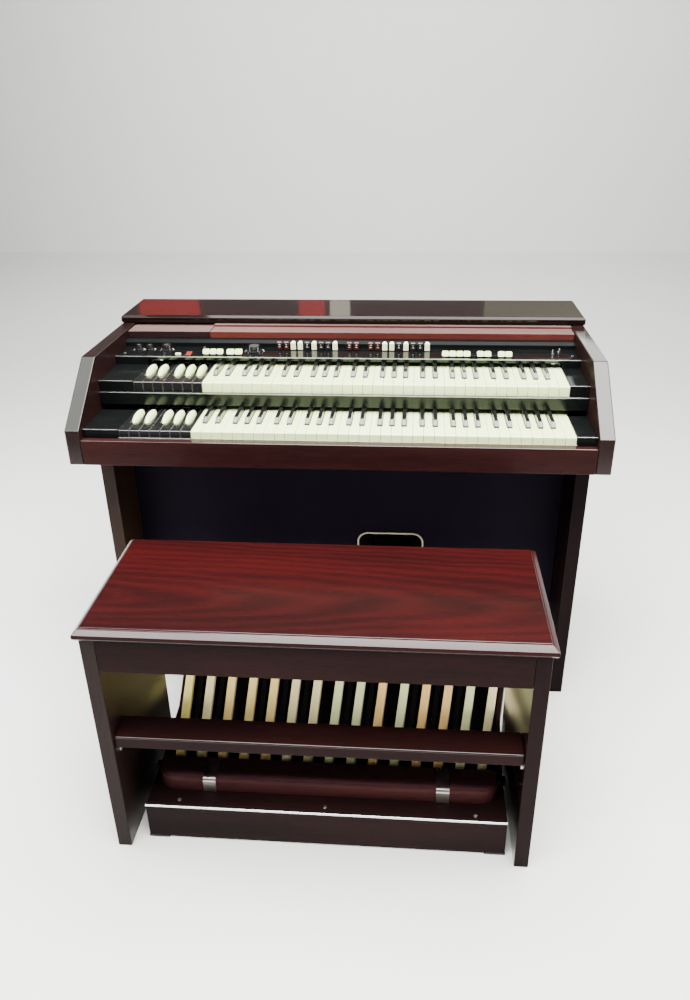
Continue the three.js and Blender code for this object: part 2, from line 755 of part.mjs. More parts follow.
// Twenty drawbars: a flat shaft with an upright knob at its front.
function addDrawbars() {
  const knob_bottom = deck_top_z + drawbar_knob_lift;
  const knob_back = drawbar_knob_front_y + drawbar_knob_depth;
  const profile = [
    [drawbar_knob_front_y, knob_bottom],
    [knob_back, knob_bottom],
    [knob_back, knob_bottom + drawbar_knob_height],
    [drawbar_knob_front_y + drawbar_knob_slope, knob_bottom + drawbar_knob_height],
    [drawbar_knob_front_y, knob_bottom + drawbar_knob_height - drawbar_knob_slope],
  ];
  const shaft_bottom = deck_top_z + drawbar_shaft_lift;
  const shaft_back = drawbar_box_front_y + drawbar_box_depth - drawbar_tail_gap;
  const shaft_top = shaft_bottom + drawbar_shaft_height;
  const shaft_front = knob_back - drawbar_shaft_root;
  const half = drawbar_shaft_width / 2;
  for (const { name, x, tone } of drawbarPlaces()) {
    const knob = alongX(profile, x - drawbar_knob_width / 2, x + drawbar_knob_width / 2);
    const shaft = block(x - half, x + half, shaft_front, shaft_back, shaft_bottom, shaft_top);
    addPiece(name, joined([knob, shaft]), drawbar_finishes[tone]);
  }
}

// The wooden board behind the controls: two sections with a seam, and a raised ledge on the long one.
function addCoverBoard() {
  const back = top_board_front_y + cover_board_tuck;
  const top = cover_board_top_z;
  const board = block(-inner_x, inner_x, cover_board_front_y, back, cover_board_bottom_z, top);
  const seam_x1 = cover_seam_x + cover_seam_width;
  const seam_front = cover_board_front_y - cut_over;
  const over_top = top + cut_over;
  const over_back = back + cut_over;
  const front_seam = block(
    cover_seam_x,
    seam_x1,
    seam_front,
    cover_board_front_y + cover_seam_depth,
    cover_board_bottom_z - cut_over,
    over_top,
  );
  const top_seam = block(cover_seam_x, seam_x1, seam_front, over_back, top - cover_seam_depth, over_top);
  const ledge_front = top_board_front_y - cover_ledge_depth;
  const ledge_bottom = top - cover_seam_depth;
  const ledge = block(seam_x1, inner_x, ledge_front, back, ledge_bottom, top + cover_ledge_height);
  addPiece("cover_board", joined([cutBy(board, [front_seam, top_seam]), ledge]), mahogany);
}

// The left edge of each tab of a bank, and its width, from left to right.
function tabPlaces(groups, left_x, group_gap) {
  const places = [];
  let x = left_x;
  for (const { count, pitch } of groups) {
    for (let i = 0; i < count; i += 1) {
      places.push({ x, width: pitch - tab_gap });
      x += pitch;
    }
    x += group_gap;
  }
  return places;
}

// A bank of rocker tabs on one low bar.
function tabBank(places) {
  const front = deck_front_y + tab_inset;
  const bottom = deck_top_z + tab_lift;
  const profile = [
    [front, bottom],
    [front + tab_thickness, bottom],
    [front + tab_thickness + tab_lean, bottom + tab_height],
    [front + tab_lean, bottom + tab_height],
  ];
  const tabs = places.map(({ x, width }) => alongX(profile, x, x + width));
  const last = places[places.length - 1];
  const bar_front = front + tab_thickness / 2;
  const bar_bottom = deck_top_z + tab_bar_lift;
  const bar = block(
    places[0].x + tab_gap,
    last.x + last.width - tab_gap,
    bar_front,
    bar_front + tab_bar_size,
    bar_bottom,
    bar_bottom + tab_bar_size,
  );
  return joined([...tabs, bar]);
}

// A control knob with a skirt, standing on the deck.
function addKnob({ name, x, y_share, radius, skirt_radius, height }) {
  const profile = [
    [0, 0],
    [skirt_radius, 0],
    [skirt_radius, knob_skirt_height],
    [radius, knob_skirt_height],
    [radius, height - knob_edge_round],
    [radius - knob_edge_round, height],
    [0, height],
  ];
  const y = deck_front_y + y_share * deck_depth;
  addPiece(name, turned(profile, x, y, deck_top_z + seat_gap), gloss_black);
}

// The two banks of tabs, with the large chorus knob beside the left one.
function addTabs() {
  const left = tabPlaces(left_tab_groups, left_tabs_share * inner_x, left_tab_group_gap);
  addPiece("left_tabs", tabBank(left), ivory);
  const right = tabPlaces(right_tab_groups, right_tabs_share * inner_x, right_tab_group_gap);
  addPiece("right_tabs", tabBank(right), ivory);
  const last = left[left.length - 1];
  addKnob({
    name: "chorus_knob",
    x: last.x + last.width + tab_gap + chorus_knob_gap + chorus_skirt_radius,
    y_share: chorus_knob_y_share,
    radius: chorus_knob_radius,
    skirt_radius: chorus_skirt_radius,
    height: chorus_knob_height,
  });
}

// The volume and tone knobs at the left end of the deck.
function addSideKnobs() {
  const tone = { radius: tone_knob_radius, skirt_radius: tone_skirt_radius, height: tone_knob_height };
  const volume = {
    radius: volume_knob_radius,
    skirt_radius: volume_skirt_radius,
    height: volume_knob_height,
  };
  const y_share = side_knob_y_share;
  addKnob({ name: "volume_knob", x: volume_knob_share * inner_x, y_share, ...volume });
  addKnob({ name: "treble_knob", x: treble_knob_share * inner_x, y_share, ...tone });
  addKnob({ name: "bass_knob", x: bass_knob_share * inner_x, y_share, ...tone });
}

// Where the mains switch stands on the deck.
const switch_x = switch_x_share * inner_x;
const switch_y = deck_front_y + switch_y_share * deck_depth;

// The mains switch: a rocker in its well.
function addPowerSwitch() {
  const front = switch_y - switch_length / 2;
  const back = switch_y + switch_length / 2;
  const top = deck_top_z + switch_rise;
  const rocker = [
    [switch_y, deck_top_z - switch_depth],
    [back, deck_top_z - switch_back_depth],
    [back, top],
    [switch_y, top - switch_dip],
    [front, top - switch_dip],
    [front, deck_top_z - switch_back_depth],
  ];
  const half = switch_width / 2;
  addPiece("power_switch", alongX(rocker, switch_x - half, switch_x + half), signal_red);
}

// How far from the middle line a pedal stands at a depth y, counted in natural pitches.
function fanX(pitches, y) {
  const spread = 1 + (y - pedal_heel_y) / pedal_fan_radius;
  return pedal_x + pitches * pedal_heel_pitch * spread;
}

// How far the outer side of the outermost natural pedal lies from the middle line at a depth y.
function outerPedal(y) {
  return fanX(pedal_middle, y) - pedal_x + pedal_natural_width / 2;
}

// A bar that follows the fan, with both ends square to the case.
function fanBar(pitches, width, y0, y1, z0, z1) {
  const half = width / 2;
  const outline = [
    [fanX(pitches, y0) - half, y0],
    [fanX(pitches, y0) + half, y0],
    [fanX(pitches, y1) + half, y1],
    [fanX(pitches, y1) - half, y1],
  ];
  return upwards(outline, z0, z1);
}

// Where the pedals and their rails lie, and how wide the bench stands over them.
const pedal_toe_y = pedal_heel_y + pedal_length;
const pedal_middle = (pedal_naturals - 1) / 2;
const natural_bottom_z = pedal_natural_top_z - pedal_natural_height;
const natural_rail_y0 = pedal_heel_y - pedal_rail_lead;
const natural_rail_y1 = natural_rail_y0 + pedal_rail_depth;
const natural_rail_z = natural_bottom_z - pedal_rail_height;
const sharp_rail_y0 = natural_rail_y1 + pedal_sharp_rail_back;
const sharp_rail_y1 = sharp_rail_y0 + pedal_sharp_rail_depth;
const sharp_stem_z = pedal_natural_top_z - pedal_sharp_stem_drop - pedal_sharp_stem_height;
const sharp_rail_z = sharp_stem_z - pedal_sharp_rail_drop;
const natural_reach = outerPedal(pedal_heel_y);
const pedal_case_half = natural_reach + pedal_case_side_gap + pedal_wall;
const heel_block_back_y = pedal_heel_y - heel_block_gap;
const heel_block_front_y = heel_block_back_y - heel_block_depth;
const heel_block_top_z = pedal_case_height + heel_block_height;
const pedal_case_front_y = heel_block_front_y - heel_block_front_inset;
const bench_back_y = bench_front_y + bench_top_depth;
const waist_y = bench_back_y - bench_end_back_inset + pedal_waist_lead;
const waist_half = outerPedal(waist_y) + pedal_waist_side_gap + pedal_wall;
const bench_inner_half = waist_half + Math.abs(bench_x - pedal_x) + bench_side_gap;
const bench_outer_half = bench_inner_half + bench_end_thickness;

// The bench: moulded seat board, slab ends, front apron and low shelf.
function addBench() {
  const half_top = bench_outer_half + bench_end_overhang;
  const under = bench_top_z - bench_top_thickness;
  const levels = bench_edge_inset_shares.map((inset_share, i) => {
    const inset = inset_share * bench_top_thickness;
    const z = under + bench_edge_height_shares[i] * bench_top_thickness;
    const left = bench_x - half_top + inset;
    const right = bench_x + half_top - inset;
    return [left, right, bench_front_y + inset, bench_back_y - inset, z];
  });
  addPiece("bench_top", levelled(levels), mahogany);
  const outer = bench_outer_half;
  const inner = bench_inner_half;
  const end_front = bench_front_y + bench_end_front_inset;
  const end_back = bench_back_y - bench_end_back_inset;
  const end_top = under - seat_gap;
  const left_end = block(bench_x - outer, bench_x - inner, end_front, end_back, 0, end_top);
  addPiece("bench_left_end", left_end, mahogany);
  const right_end = block(bench_x + inner, bench_x + outer, end_front, end_back, 0, end_top);
  addPiece("bench_right_end", right_end, mahogany);
  const half = inner - seat_gap;
  const x0 = bench_x - half;
  const x1 = bench_x + half;
  const apron_back = end_front + bench_apron_thickness;
  const apron = block(x0, x1, end_front, apron_back, end_top - bench_apron_height, end_top);
  addPiece("bench_apron", apron, mahogany);
  const shelf_front = bench_front_y + bench_shelf_front_inset;
  const shelf_bottom = bench_shelf_top_z - bench_shelf_thickness;
  const shelf = block(x0, x1, shelf_front, shelf_front + bench_shelf_depth, shelf_bottom, bench_shelf_top_z);
  addPiece("bench_shelf", shelf, mahogany);
}

// The fifteen long pedals on their heel rail.
function addPedalNaturals() {
  const bars = Array.from({ length: pedal_naturals }, (unused, i) =>
    fanBar(
      i - pedal_middle,
      pedal_natural_width,
      pedal_heel_y,
      pedal_toe_y,
      natural_bottom_z,
      pedal_natural_top_z,
    ),
  );
  const lap_top = natural_bottom_z + pedal_rail_upstand;
  const rail = block(
    pedal_x - natural_reach,
    pedal_x + natural_reach,
    natural_rail_y0,
    natural_rail_y1,
    natural_rail_z,
    natural_bottom_z,
  );
  const lap = block(
    pedal_x - natural_reach,
    pedal_x + natural_reach,
    natural_rail_y0,
    pedal_heel_y + pedal_rail_lap,
    natural_rail_z,
    lap_top,
  );
  addPiece("pedal_naturals", joined([...bars, rail, lap]), maple);
}

// The ten raised pedals: a low stem between the naturals, and a high block at the toe.
function addPedalSharps() {
  const stem_top = pedal_natural_top_z - pedal_sharp_stem_drop;
  const crest = pedal_natural_top_z + pedal_sharp_rise;
  const block_front = pedal_toe_y - pedal_sharp_block_length;
  const places = [];
  for (let first = 0; first < pedal_naturals; first += naturals_in_octave) {
    for (const sharp of octave_sharps) {
      const after = first + sharp.after;
      if (after + 1 < pedal_naturals) places.push(after + pedal_between_share - pedal_middle);
    }
  }
  const pieces = places.flatMap((at) => [
    fanBar(at, pedal_sharp_stem_width, sharp_rail_y0, pedal_toe_y, sharp_stem_z, stem_top),
    fanBar(at, pedal_sharp_stem_width, sharp_rail_y0, sharp_rail_y1, sharp_rail_z, stem_top),
    fanBar(at, pedal_sharp_width, block_front, pedal_toe_y, stem_top - pedal_sharp_nose, stem_top),
    fanBar(at, pedal_sharp_width, block_front + pedal_sharp_nose, pedal_toe_y, stem_top, crest),
  ]);
  const last = places[places.length - 1];
  const half = pedal_sharp_stem_width / 2;
  const x0 = fanX(places[0], sharp_rail_y0) - half;
  const x1 = fanX(last, sharp_rail_y0) + half;
  const rail_top = sharp_rail_z + pedal_sharp_rail_depth;
  pieces.push(block(x0, x1, sharp_rail_y0, sharp_rail_y1, sharp_rail_z, rail_top));
  addPiece("pedal_sharps", joined(pieces), black_wood);
}

// The pedalboard's case: front box, rests for the two heel rails, splayed walls, back rail and feet.
function addPedalCase() {
  const half = pedal_case_half;
  const beam_back = sharp_rail_y1 + pedal_beam_lead;
  const step_y = (natural_rail_y1 + sharp_rail_y0) / 2;
  const box_back = natural_rail_y0 - pedal_box_clearance;
  const profile = [
    [pedal_case_front_y, pedal_foot_height],
    [beam_back, pedal_foot_height],
    [beam_back, sharp_rail_z - seat_gap],
    [step_y, sharp_rail_z - seat_gap],
    [step_y, natural_rail_z - seat_gap],
    [box_back, natural_rail_z - seat_gap],
    [box_back, pedal_case_height],
    [pedal_case_front_y, pedal_case_height],
  ];
  const pieces = [alongX(profile, pedal_x - half, pedal_x + half)];
  const back_y = pedal_toe_y + pedal_back_clearance + pedal_back_rail_depth;
  const back_half = outerPedal(back_y) + pedal_toe_side_gap + pedal_wall;
  for (const side of [-1, 1]) {
    const at = (x, y) => [pedal_x + side * x, y];
    const wall = [
      at(half, box_back),
      at(waist_half, waist_y),
      at(back_half, back_y),
      at(back_half - pedal_wall, back_y),
      at(waist_half - pedal_wall, waist_y),
      at(half - pedal_wall, box_back),
    ];
    if (side < 0) wall.reverse();
    pieces.push(upwards(wall, pedal_foot_height, pedal_wall_height));
  }
  const rail_front = back_y - pedal_back_rail_depth;
  const flare = (back_half - waist_half) / (back_y - waist_y);
  const rail_half = back_half - pedal_wall / 2;
  const rail_front_half = rail_half - flare * pedal_back_rail_depth;
  const back_rail = upwards(
    [
      [pedal_x - rail_front_half, rail_front],
      [pedal_x + rail_front_half, rail_front],
      [pedal_x + rail_half, back_y],
      [pedal_x - rail_half, back_y],
    ],
    pedal_foot_height,
    pedal_back_rail_height,
  );
  pieces.push(back_rail);
  for (const side of [-1, 1]) {
    const front_x = pedal_x + side * (half - pedal_foot_length / 2);
    const back_x = pedal_x + side * (back_half - pedal_foot_length);
    const reach = pedal_foot_length / 2;
    const foot_top = pedal_foot_height + cut_over;
    const front_y1 = pedal_case_front_y + pedal_foot_depth;
    pieces.push(block(front_x - reach, front_x + reach, pedal_case_front_y, front_y1, 0, foot_top));
    pieces.push(block(back_x - reach, back_x + reach, rail_front, back_y, 0, foot_top));
  }
  addPiece("pedal_case", joined(pieces), dark_mahogany);
}

// The heel block's plan outline with round front corners, drawn in by an inset at its front and ends.
function heelBlockOutline(inset) {
  const half = pedal_case_half - heel_block_side_inset - inset;
  const x0 = pedal_x - half;
  const x1 = pedal_x + half;
  const front = heel_block_front_y + inset;
  const r = heel_block_radius - inset;
  const shape = new THREE.Shape();
  shape.moveTo(x0, heel_block_back_y);
  shape.lineTo(x0, front + r);
  shape.absarc(x0 + r, front + r, r, Math.PI, (3 * Math.PI) / 2, false);
  shape.lineTo(x1 - r, front);
  shape.absarc(x1 - r, front + r, r, (3 * Math.PI) / 2, 2 * Math.PI, false);
  shape.lineTo(x1, heel_block_back_y);
  return shape;
}

// A quarter circle of [y, z] points, from straight up over its centre to straight in front of it.
function quarterArc(y, z, radius) {
  return Array.from({ length: nose_steps + 1 }, (unused, i) => {
    const angle = ((i / nose_steps) * Math.PI) / 2;
    return [y - radius * Math.sin(angle), z + radius * Math.cos(angle)];
  });
}

// The raised heel block: its upper edge is rounded where it meets the front and the ends.
function addHeelBlock() {
  const bottom = pedal_case_height + seat_gap;
  const centre_z = heel_block_top_z - heel_block_nose;
  const slices = quarterArc(heel_block_nose, centre_z, heel_block_nose).map(([inset, z]) =>
    solidOf(upwards(heelBlockOutline(inset), bottom, z)),
  );
  addPiece("heel_block", geometryOf(wasm.Manifold.hull(slices)), mahogany);
}

// The two steel straps that bend over the heel block's front edge.
function addStraps() {
  const block_half = pedal_case_half - heel_block_side_inset;
  const under = heel_block_top_z + seat_gap;
  const over = under + strap_thickness;
  const leg_back = heel_block_front_y - seat_gap;
  const leg_front = leg_back - strap_thickness;
  const foot_z = pedal_case_height + strap_leg_clearance;
  const back = heel_block_back_y - strap_back_inset;
  const centre_y = heel_block_front_y + heel_block_nose;
  const centre_z = heel_block_top_z - heel_block_nose;
  const bend = [
    [back, under],
    [back, over],
    ...quarterArc(centre_y, centre_z, centre_y - leg_front),
    [leg_front, foot_z],
    [leg_back, foot_z],
    ...quarterArc(centre_y, centre_z, centre_y - leg_back).reverse(),
  ];
  const half = strap_width / 2;
  strap_shares.forEach((share, i) => {
    const x = pedal_x + share * block_half;
    addPiece(i === 0 ? "left_strap" : "right_strap", alongX(bend, x - half, x + half), steel);
  });
}

addArms();
addTopBoard();
addLowerCase();
addExpressionPedal();
addKeyFrames();
addManuals();
addControlDeck();
addDrawbarBox();
addDrawbars();
addCoverBoard();
addTabs();
addSideKnobs();
addPowerSwitch();
addBench();
addPedalNaturals();
addPedalSharps();
addPedalCase();
addHeelBlock();
addStraps();

export default organ;
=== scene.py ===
"""A two-manual console organ with its bench and pedalboard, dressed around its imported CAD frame."""
import math

import bpy
from mathutils import Matrix, Vector


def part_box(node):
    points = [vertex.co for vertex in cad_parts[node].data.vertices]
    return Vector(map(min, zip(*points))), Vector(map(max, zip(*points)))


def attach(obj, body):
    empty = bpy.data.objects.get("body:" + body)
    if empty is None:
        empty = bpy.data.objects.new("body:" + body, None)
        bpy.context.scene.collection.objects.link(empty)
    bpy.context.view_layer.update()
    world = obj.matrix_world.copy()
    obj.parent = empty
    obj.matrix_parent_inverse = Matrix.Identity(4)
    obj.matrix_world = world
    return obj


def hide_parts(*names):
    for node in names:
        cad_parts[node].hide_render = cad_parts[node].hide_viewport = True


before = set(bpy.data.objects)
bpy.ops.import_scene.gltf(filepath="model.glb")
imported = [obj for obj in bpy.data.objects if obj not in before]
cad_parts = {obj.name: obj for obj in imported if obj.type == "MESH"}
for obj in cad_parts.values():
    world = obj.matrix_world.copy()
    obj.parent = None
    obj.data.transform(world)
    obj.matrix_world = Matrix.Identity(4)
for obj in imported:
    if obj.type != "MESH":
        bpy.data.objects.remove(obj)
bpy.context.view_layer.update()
mm = 0.001

# The camera stands where the photograph was taken: a little to the right of the middle, at
# standing eye height, looking down over the keys. Its place and lens come from a fit to the keys,
# the case, the bench and the pedalboard.
camera_lens = bpy.data.cameras.new("photo_camera")
camera_lens.sensor_fit = "VERTICAL"
camera_lens.sensor_height = 36
camera_lens.lens = 29.42304
camera_lens.shift_x = -0.0037556
camera_lens.shift_y = 0.0004264
camera = bpy.data.objects.new("photo_camera", camera_lens)
camera.location = (0.1707226, -1.7437370, 1.4749109)
camera.rotation_euler = [math.radians(turn) for turn in (63.02868632, 0.79500328, 4.41920954)]
bpy.context.scene.collection.objects.link(camera)
bpy.context.scene.camera = camera

# The studio: a pale floor that turns dim behind the camera, a low pale screen far behind the organ,
# large soft lights overhead, and small coloured ones far back that the polished top board mirrors.
# The room itself is dim, so that the dark lacquer keeps its depth.
pale_floor = (0.80, 0.80, 0.79, 1)
pale_floor_light = (0.83, 0.83, 0.82, 1)
dim_floor = (0.06, 0.06, 0.06, 1)
floor_size = 16
floor_middle_y = 1
dim_from_y = -2.0
pale_from_y = -1.05
screen_y = 6.5
screen_height = 2.2
room_colour = (0.78, 0.90, 0.82, 1)
room_strength = 0.12


class Signal:
    """A socket of a node tree. Sums, products and powers of signals become Math nodes."""

    def __init__(self, tree, socket=None):
        self.tree = tree
        self.socket = socket

    def node(self, kind, settings=None, sockets=None, output=0):
        """A node of any kind: its settings first, then the values or links of its sockets."""
        made = self.tree.nodes.new(kind)
        for name, value in (settings or {}).items():
            setattr(made, name, value)
        for name, value in (sockets or {}).items():
            if isinstance(value, Signal):
                self.tree.links.new(value.socket, made.inputs[name])
            else:
                made.inputs[name].default_value = value
        return Signal(self.tree, made.outputs[output] if made.outputs else None)

    def calculate(self, operation, first, second):
        return self.node("ShaderNodeMath", {"operation": operation}, {0: first, 1: second})

    def __add__(self, other):
        return self.calculate("ADD", self, other)

    def __radd__(self, other):
        return self.calculate("ADD", other, self)

    def __sub__(self, other):
        return self.calculate("SUBTRACT", self, other)

    def __rsub__(self, other):
        return self.calculate("SUBTRACT", other, self)

    def __mul__(self, other):
        return self.calculate("MULTIPLY", self, other)

    def __rmul__(self, other):
        return self.calculate("MULTIPLY", other, self)

    def __pow__(self, other):
        return self.calculate("POWER", self, other)


def new_material(name):
    """An empty material and the signal that starts its node tree."""
    material = bpy.data.materials.new(name)
    material.use_nodes = True
    material.node_tree.nodes.clear()
    return material, Signal(material.node_tree)


def close_surface(start, sockets):
    """Ends a material's tree in one Principled shader."""
    shader = start.node("ShaderNodeBsdfPrincipled", {}, sockets)
    start.node("ShaderNodeOutputMaterial", {}, {"Surface": shader})


def object_place(start):
    """Object coordinates: every finished piece sits at the origin, so they are metres in the room."""
    return start.node("ShaderNodeTexCoord", output="Object")


def noise(place, across, stretch=(1, 1, 1), detail=2.0, roughness=0.5):
    """Soft noise with features about as wide as across, drawn out where stretch is below one."""
    mapped = place.node("ShaderNodeMapping", {}, {"Vector": place, "Scale": stretch})
    sockets = {"Vector": mapped, "Scale": 1 / across, "Detail": detail, "Roughness": roughness}
    return mapped.node("ShaderNodeTexNoise", {}, sockets)


def ease(signal, low, high):
    """0 below low, 1 above high, and a smooth step between."""
    settings = {"interpolation_type": "SMOOTHSTEP"}
    return signal.node("ShaderNodeMapRange", settings, {"Value": signal, "From Min": low, "From Max": high})


def blend(factor, first, second):
    """A colour between two others."""
    settings = {"data_type": "RGBA"}
    return factor.node("ShaderNodeMix", settings, {0: factor, 6: first, 7: second}, output=2)


def bump(height, strength, depth):
    """A bumped normal."""
    sockets = {"Strength": strength, "Distance": depth, "Height": height}
    return height.node("ShaderNodeBump", {}, sockets)


def activate(piece):
    """Makes one object the only selected one."""
    bpy.ops.object.select_all(action="DESELECT")
    piece.select_set(True)
    bpy.context.view_layer.objects.active = piece


def set_material(piece, *materials):
    piece.data.materials.clear()
    for material in materials:
        piece.data.materials.append(material)


bpy.ops.object.select_all(action="DESELECT")
bpy.ops.mesh.primitive_plane_add(size=floor_size, location=(0, floor_middle_y, 0))
bpy.ops.object.transform_apply(location=True, rotation=True, scale=True)
studio_floor = bpy.context.object
studio_floor.name = "studio_floor"
bpy.ops.object.select_all(action="DESELECT")
bpy.ops.mesh.primitive_plane_add(
    size=1,
    location=(0, screen_y, screen_height / 2),
    rotation=(math.pi / 2, 0, 0),
)
studio_screen = bpy.context.object
studio_screen.name = "studio_screen"
studio_screen.scale = (floor_size, screen_height, 1)
bpy.ops.object.transform_apply(location=True, rotation=True, scale=True)
floor_paint, start = new_material("floor_paint")
place = object_place(start)
speckle = noise(place, 0.4, detail=3.0)
depth_back = place.node("ShaderNodeSeparateXYZ", {}, {"Vector": place}, output="Y")
paint = blend(speckle, pale_floor, pale_floor_light)
floor_colour = blend(ease(depth_back, dim_from_y, pale_from_y), dim_floor, paint)
close_surface(start, {"Base Color": floor_colour, "Roughness": 0.75})
set_material(studio_floor, floor_paint)
set_material(studio_screen, floor_paint)


def softbox(name, place, aim, width, height, power, tint):
    """A rectangular soft light that looks at a point."""
    lamp = bpy.data.lights.new(name, "AREA")
    lamp.shape = "RECTANGLE"
    lamp.size = width
    lamp.size_y = height
    lamp.energy = power
    lamp.color = tint
    holder = bpy.data.objects.new(name, lamp)
    holder.location = place
    holder.rotation_euler = (Vector(aim) - Vector(place)).to_track_quat("-Z", "Y").to_euler()
    bpy.context.scene.collection.objects.link(holder)


knees = (0, -0.1, 0.1)
# Each light's name, place, aim, width, height, power in watts and colour, with lengths in metres.
lights = (
    ("ceiling_light", (0.25, -0.60, 3.2), (0.25, -0.60, 0), 2.4, 3.2, 560, (1.0, 0.99, 0.96)),
    ("ceiling_side_light", (-1.75, -0.30, 3.2), (-1.75, -0.30, 0), 0.9, 1.5, 24, (0.82, 1.0, 0.92)),
    ("front_left_light", (-1.70, -1.85, 3.2), (-1.70, -1.85, 0), 1.4, 1.0, 95, (1.0, 0.96, 0.97)),
    ("left_red_card", (-2.3, 6.35, 2.50), (-0.5, 0.45, 0.94), 0.6, 0.42, 1.7, (1.0, 0.01, 0.01)),
    ("middle_red_card", (-0.85, 6.35, 2.50), (-0.1, 0.45, 0.94), 0.26, 0.42, 0.78, (1.0, 0.01, 0.01)),
    ("middle_pale_card", (-0.57, 6.35, 2.50), (0.0, 0.45, 0.94), 0.2, 0.42, 0.95, (0.95, 0.92, 0.72)),
    ("right_olive_card", (1.35, 6.35, 2.50), (0.3, 0.45, 0.94), 1.0, 0.42, 1.3, (0.80, 0.86, 0.55)),
    ("left_light", (-2.8, -0.15, 1.2), knees, 1.2, 1.2, 90, (0.96, 0.98, 1.0)),
    ("right_light", (2.8, -0.15, 1.2), knees, 1.2, 1.2, 90, (1.0, 0.98, 0.95)),
    ("window_light", (2.1, 6.3, 2.95), (0.6, 0.2, 0.92), 1.3, 0.6, 9, (0.93, 1.0, 0.95)),
    ("screen_light", (0, 3.4, 3.4), (0, 6.5, 1.0), 6.0, 1.0, 260, (1.0, 1.0, 1.0)),
)
for light in lights:
    softbox(*light)
room = bpy.data.worlds.new("room")
room.use_nodes = True
room.node_tree.nodes.clear()
start = Signal(room.node_tree)
glow = start.node("ShaderNodeBackground", {}, {"Color": room_colour, "Strength": room_strength})
start.node("ShaderNodeOutputWorld", {}, {"Surface": glow})
bpy.context.scene.world = room

# The two slab legs of the console: 33 mm boards of stained mahogany with their grain upright,
# planed, eased along every edge, lacquered, and screwed up into the key bed.
case_edge_round = 1.6 * mm
dark_stain = (0.0060, 0.0026, 0.0030, 1)
dark_stain_light = (0.017, 0.0068, 0.0056, 1)
figure_width = 45 * mm
grain_width = 5 * mm
pore_width = 1.1 * mm
pore_depth = 0.25 * mm
cloud_width = 260 * mm
ring_sway = 50 * mm
ring_sway_width = 150 * mm
ring_wander = 12 * mm
ring_wander_width = 30 * mm
merge_distance = 0.01 * mm


def lacquered_wood(name, grain_axis, deep, light, gloss=0.06, clear=0.12, ring_heart=None):
    """Mahogany under clear lacquer: broad figure, fine grain and dark pores along one axis."""
    material, start = new_material(name)
    place = object_place(start)
    along = [0.09 if axis == grain_axis else 1 for axis in "XYZ"]
    pore_along = [0.035 if axis == grain_axis else 1 for axis in "XYZ"]
    figure = noise(place, figure_width, along, detail=3.0, roughness=0.55)
    grain = noise(place, grain_width, along, detail=3.0, roughness=0.6)
    pores = ease(noise(place, pore_width, pore_along, detail=1.0), 0.60, 0.74)
    cloud_along = [0.4 if axis == grain_axis else 1 for axis in "XYZ"]
    clouds = noise(place, cloud_width, cloud_along, detail=3.0)
    tone = figure * 0.34 + grain * 0.2 + clouds * 0.46
    if ring_heart:
        tone = tone * 0.88 + growth_rings(place, ring_heart) * 0.12
    tone = ease(tone, 0.30, 0.70)
    stained = blend(tone, deep, light)
    pore_shade = tuple(channel * 0.35 for channel in deep[:3]) + (1,)
    coloured = blend(pores * 0.6, stained, pore_shade)
    relief = grain * 0.5 - pores
    close_surface(start, {
        "Base Color": coloured,
        "Roughness": 0.34 + clouds * 0.16,
        "Specular IOR Level": 0.03,
        "Normal": bump(relief, 0.18, pore_depth),
        "Coat Weight": clear,
        "Coat Roughness": gloss,
        "Coat IOR": 1.5,
    })
    return material


def growth_rings(place, heart):
    """Arched growth rings of a flat-sawn board, whose heart line runs off at a slant below it."""
    centre_y, depth, taper, spacing = heart
    parts = place.node("ShaderNodeSeparateXYZ", {}, {"Vector": place})
    x = Signal(parts.tree, parts.socket.node.outputs[0])
    y = Signal(parts.tree, parts.socket.node.outputs[1])
    sway = noise(place, ring_sway_width, (0.35, 1, 1), detail=2.0)
    side = y - centre_y + (sway - 0.5) * ring_sway
    below = x * taper + depth
    radius = (side * side + below * below) ** 0.5
    wander = noise(place, ring_wander_width, (0.2, 1, 1), detail=2.0)
    phase = (radius + (wander - 0.5) * ring_wander) * (2 * math.pi / spacing)
    wave = phase.node("ShaderNodeMath", {"operation": "SINE"}, {0: phase})
    return wave * 0.5 + 0.5


def merged_copy(node, name):
    """A copy of a CAD node's mesh, with its loose triangles merged into whole faces."""
    piece = bpy.data.objects.new(name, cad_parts[node].data.copy())
    piece.data.name = name
    bpy.context.scene.collection.objects.link(piece)
    activate(piece)
    bpy.ops.mesh.customdata_custom_splitnormals_clear()
    bpy.ops.object.mode_set(mode="EDIT")
    bpy.ops.mesh.select_all(action="SELECT")
    bpy.ops.mesh.remove_doubles(threshold=merge_distance)
    bpy.ops.mesh.dissolve_limited(angle_limit=math.radians(0.4))
    bpy.ops.object.mode_set(mode="OBJECT")
    return piece


def smooth_faces(piece, angle=32):
    """Smooth shading that keeps the large faces flat."""
    activate(piece)
    bpy.ops.object.shade_smooth_by_angle(angle=math.radians(angle))
    even = piece.modifiers.new("even_shading", "WEIGHTED_NORMAL")
    even.keep_sharp = True
    bpy.ops.object.modifier_apply(modifier=even.name)


def round_edges(piece, width, segments=3, angle=28):
    """Eases every sharp edge of a piece."""
    activate(piece)
    easing = piece.modifiers.new("eased_edges", "BEVEL")
    easing.width = width
    easing.segments = segments
    easing.limit_method = "ANGLE"
    easing.angle_limit = math.radians(angle)
    bpy.ops.object.modifier_apply(modifier=easing.name)
    smooth_faces(piece)


def rounded_copy(node, name, width, segments=3, angle=28):
    """A merged copy of a CAD node with its sharp edges eased."""
    piece = merged_copy(node, name)
    round_edges(piece, width, segments, angle)
    return piece


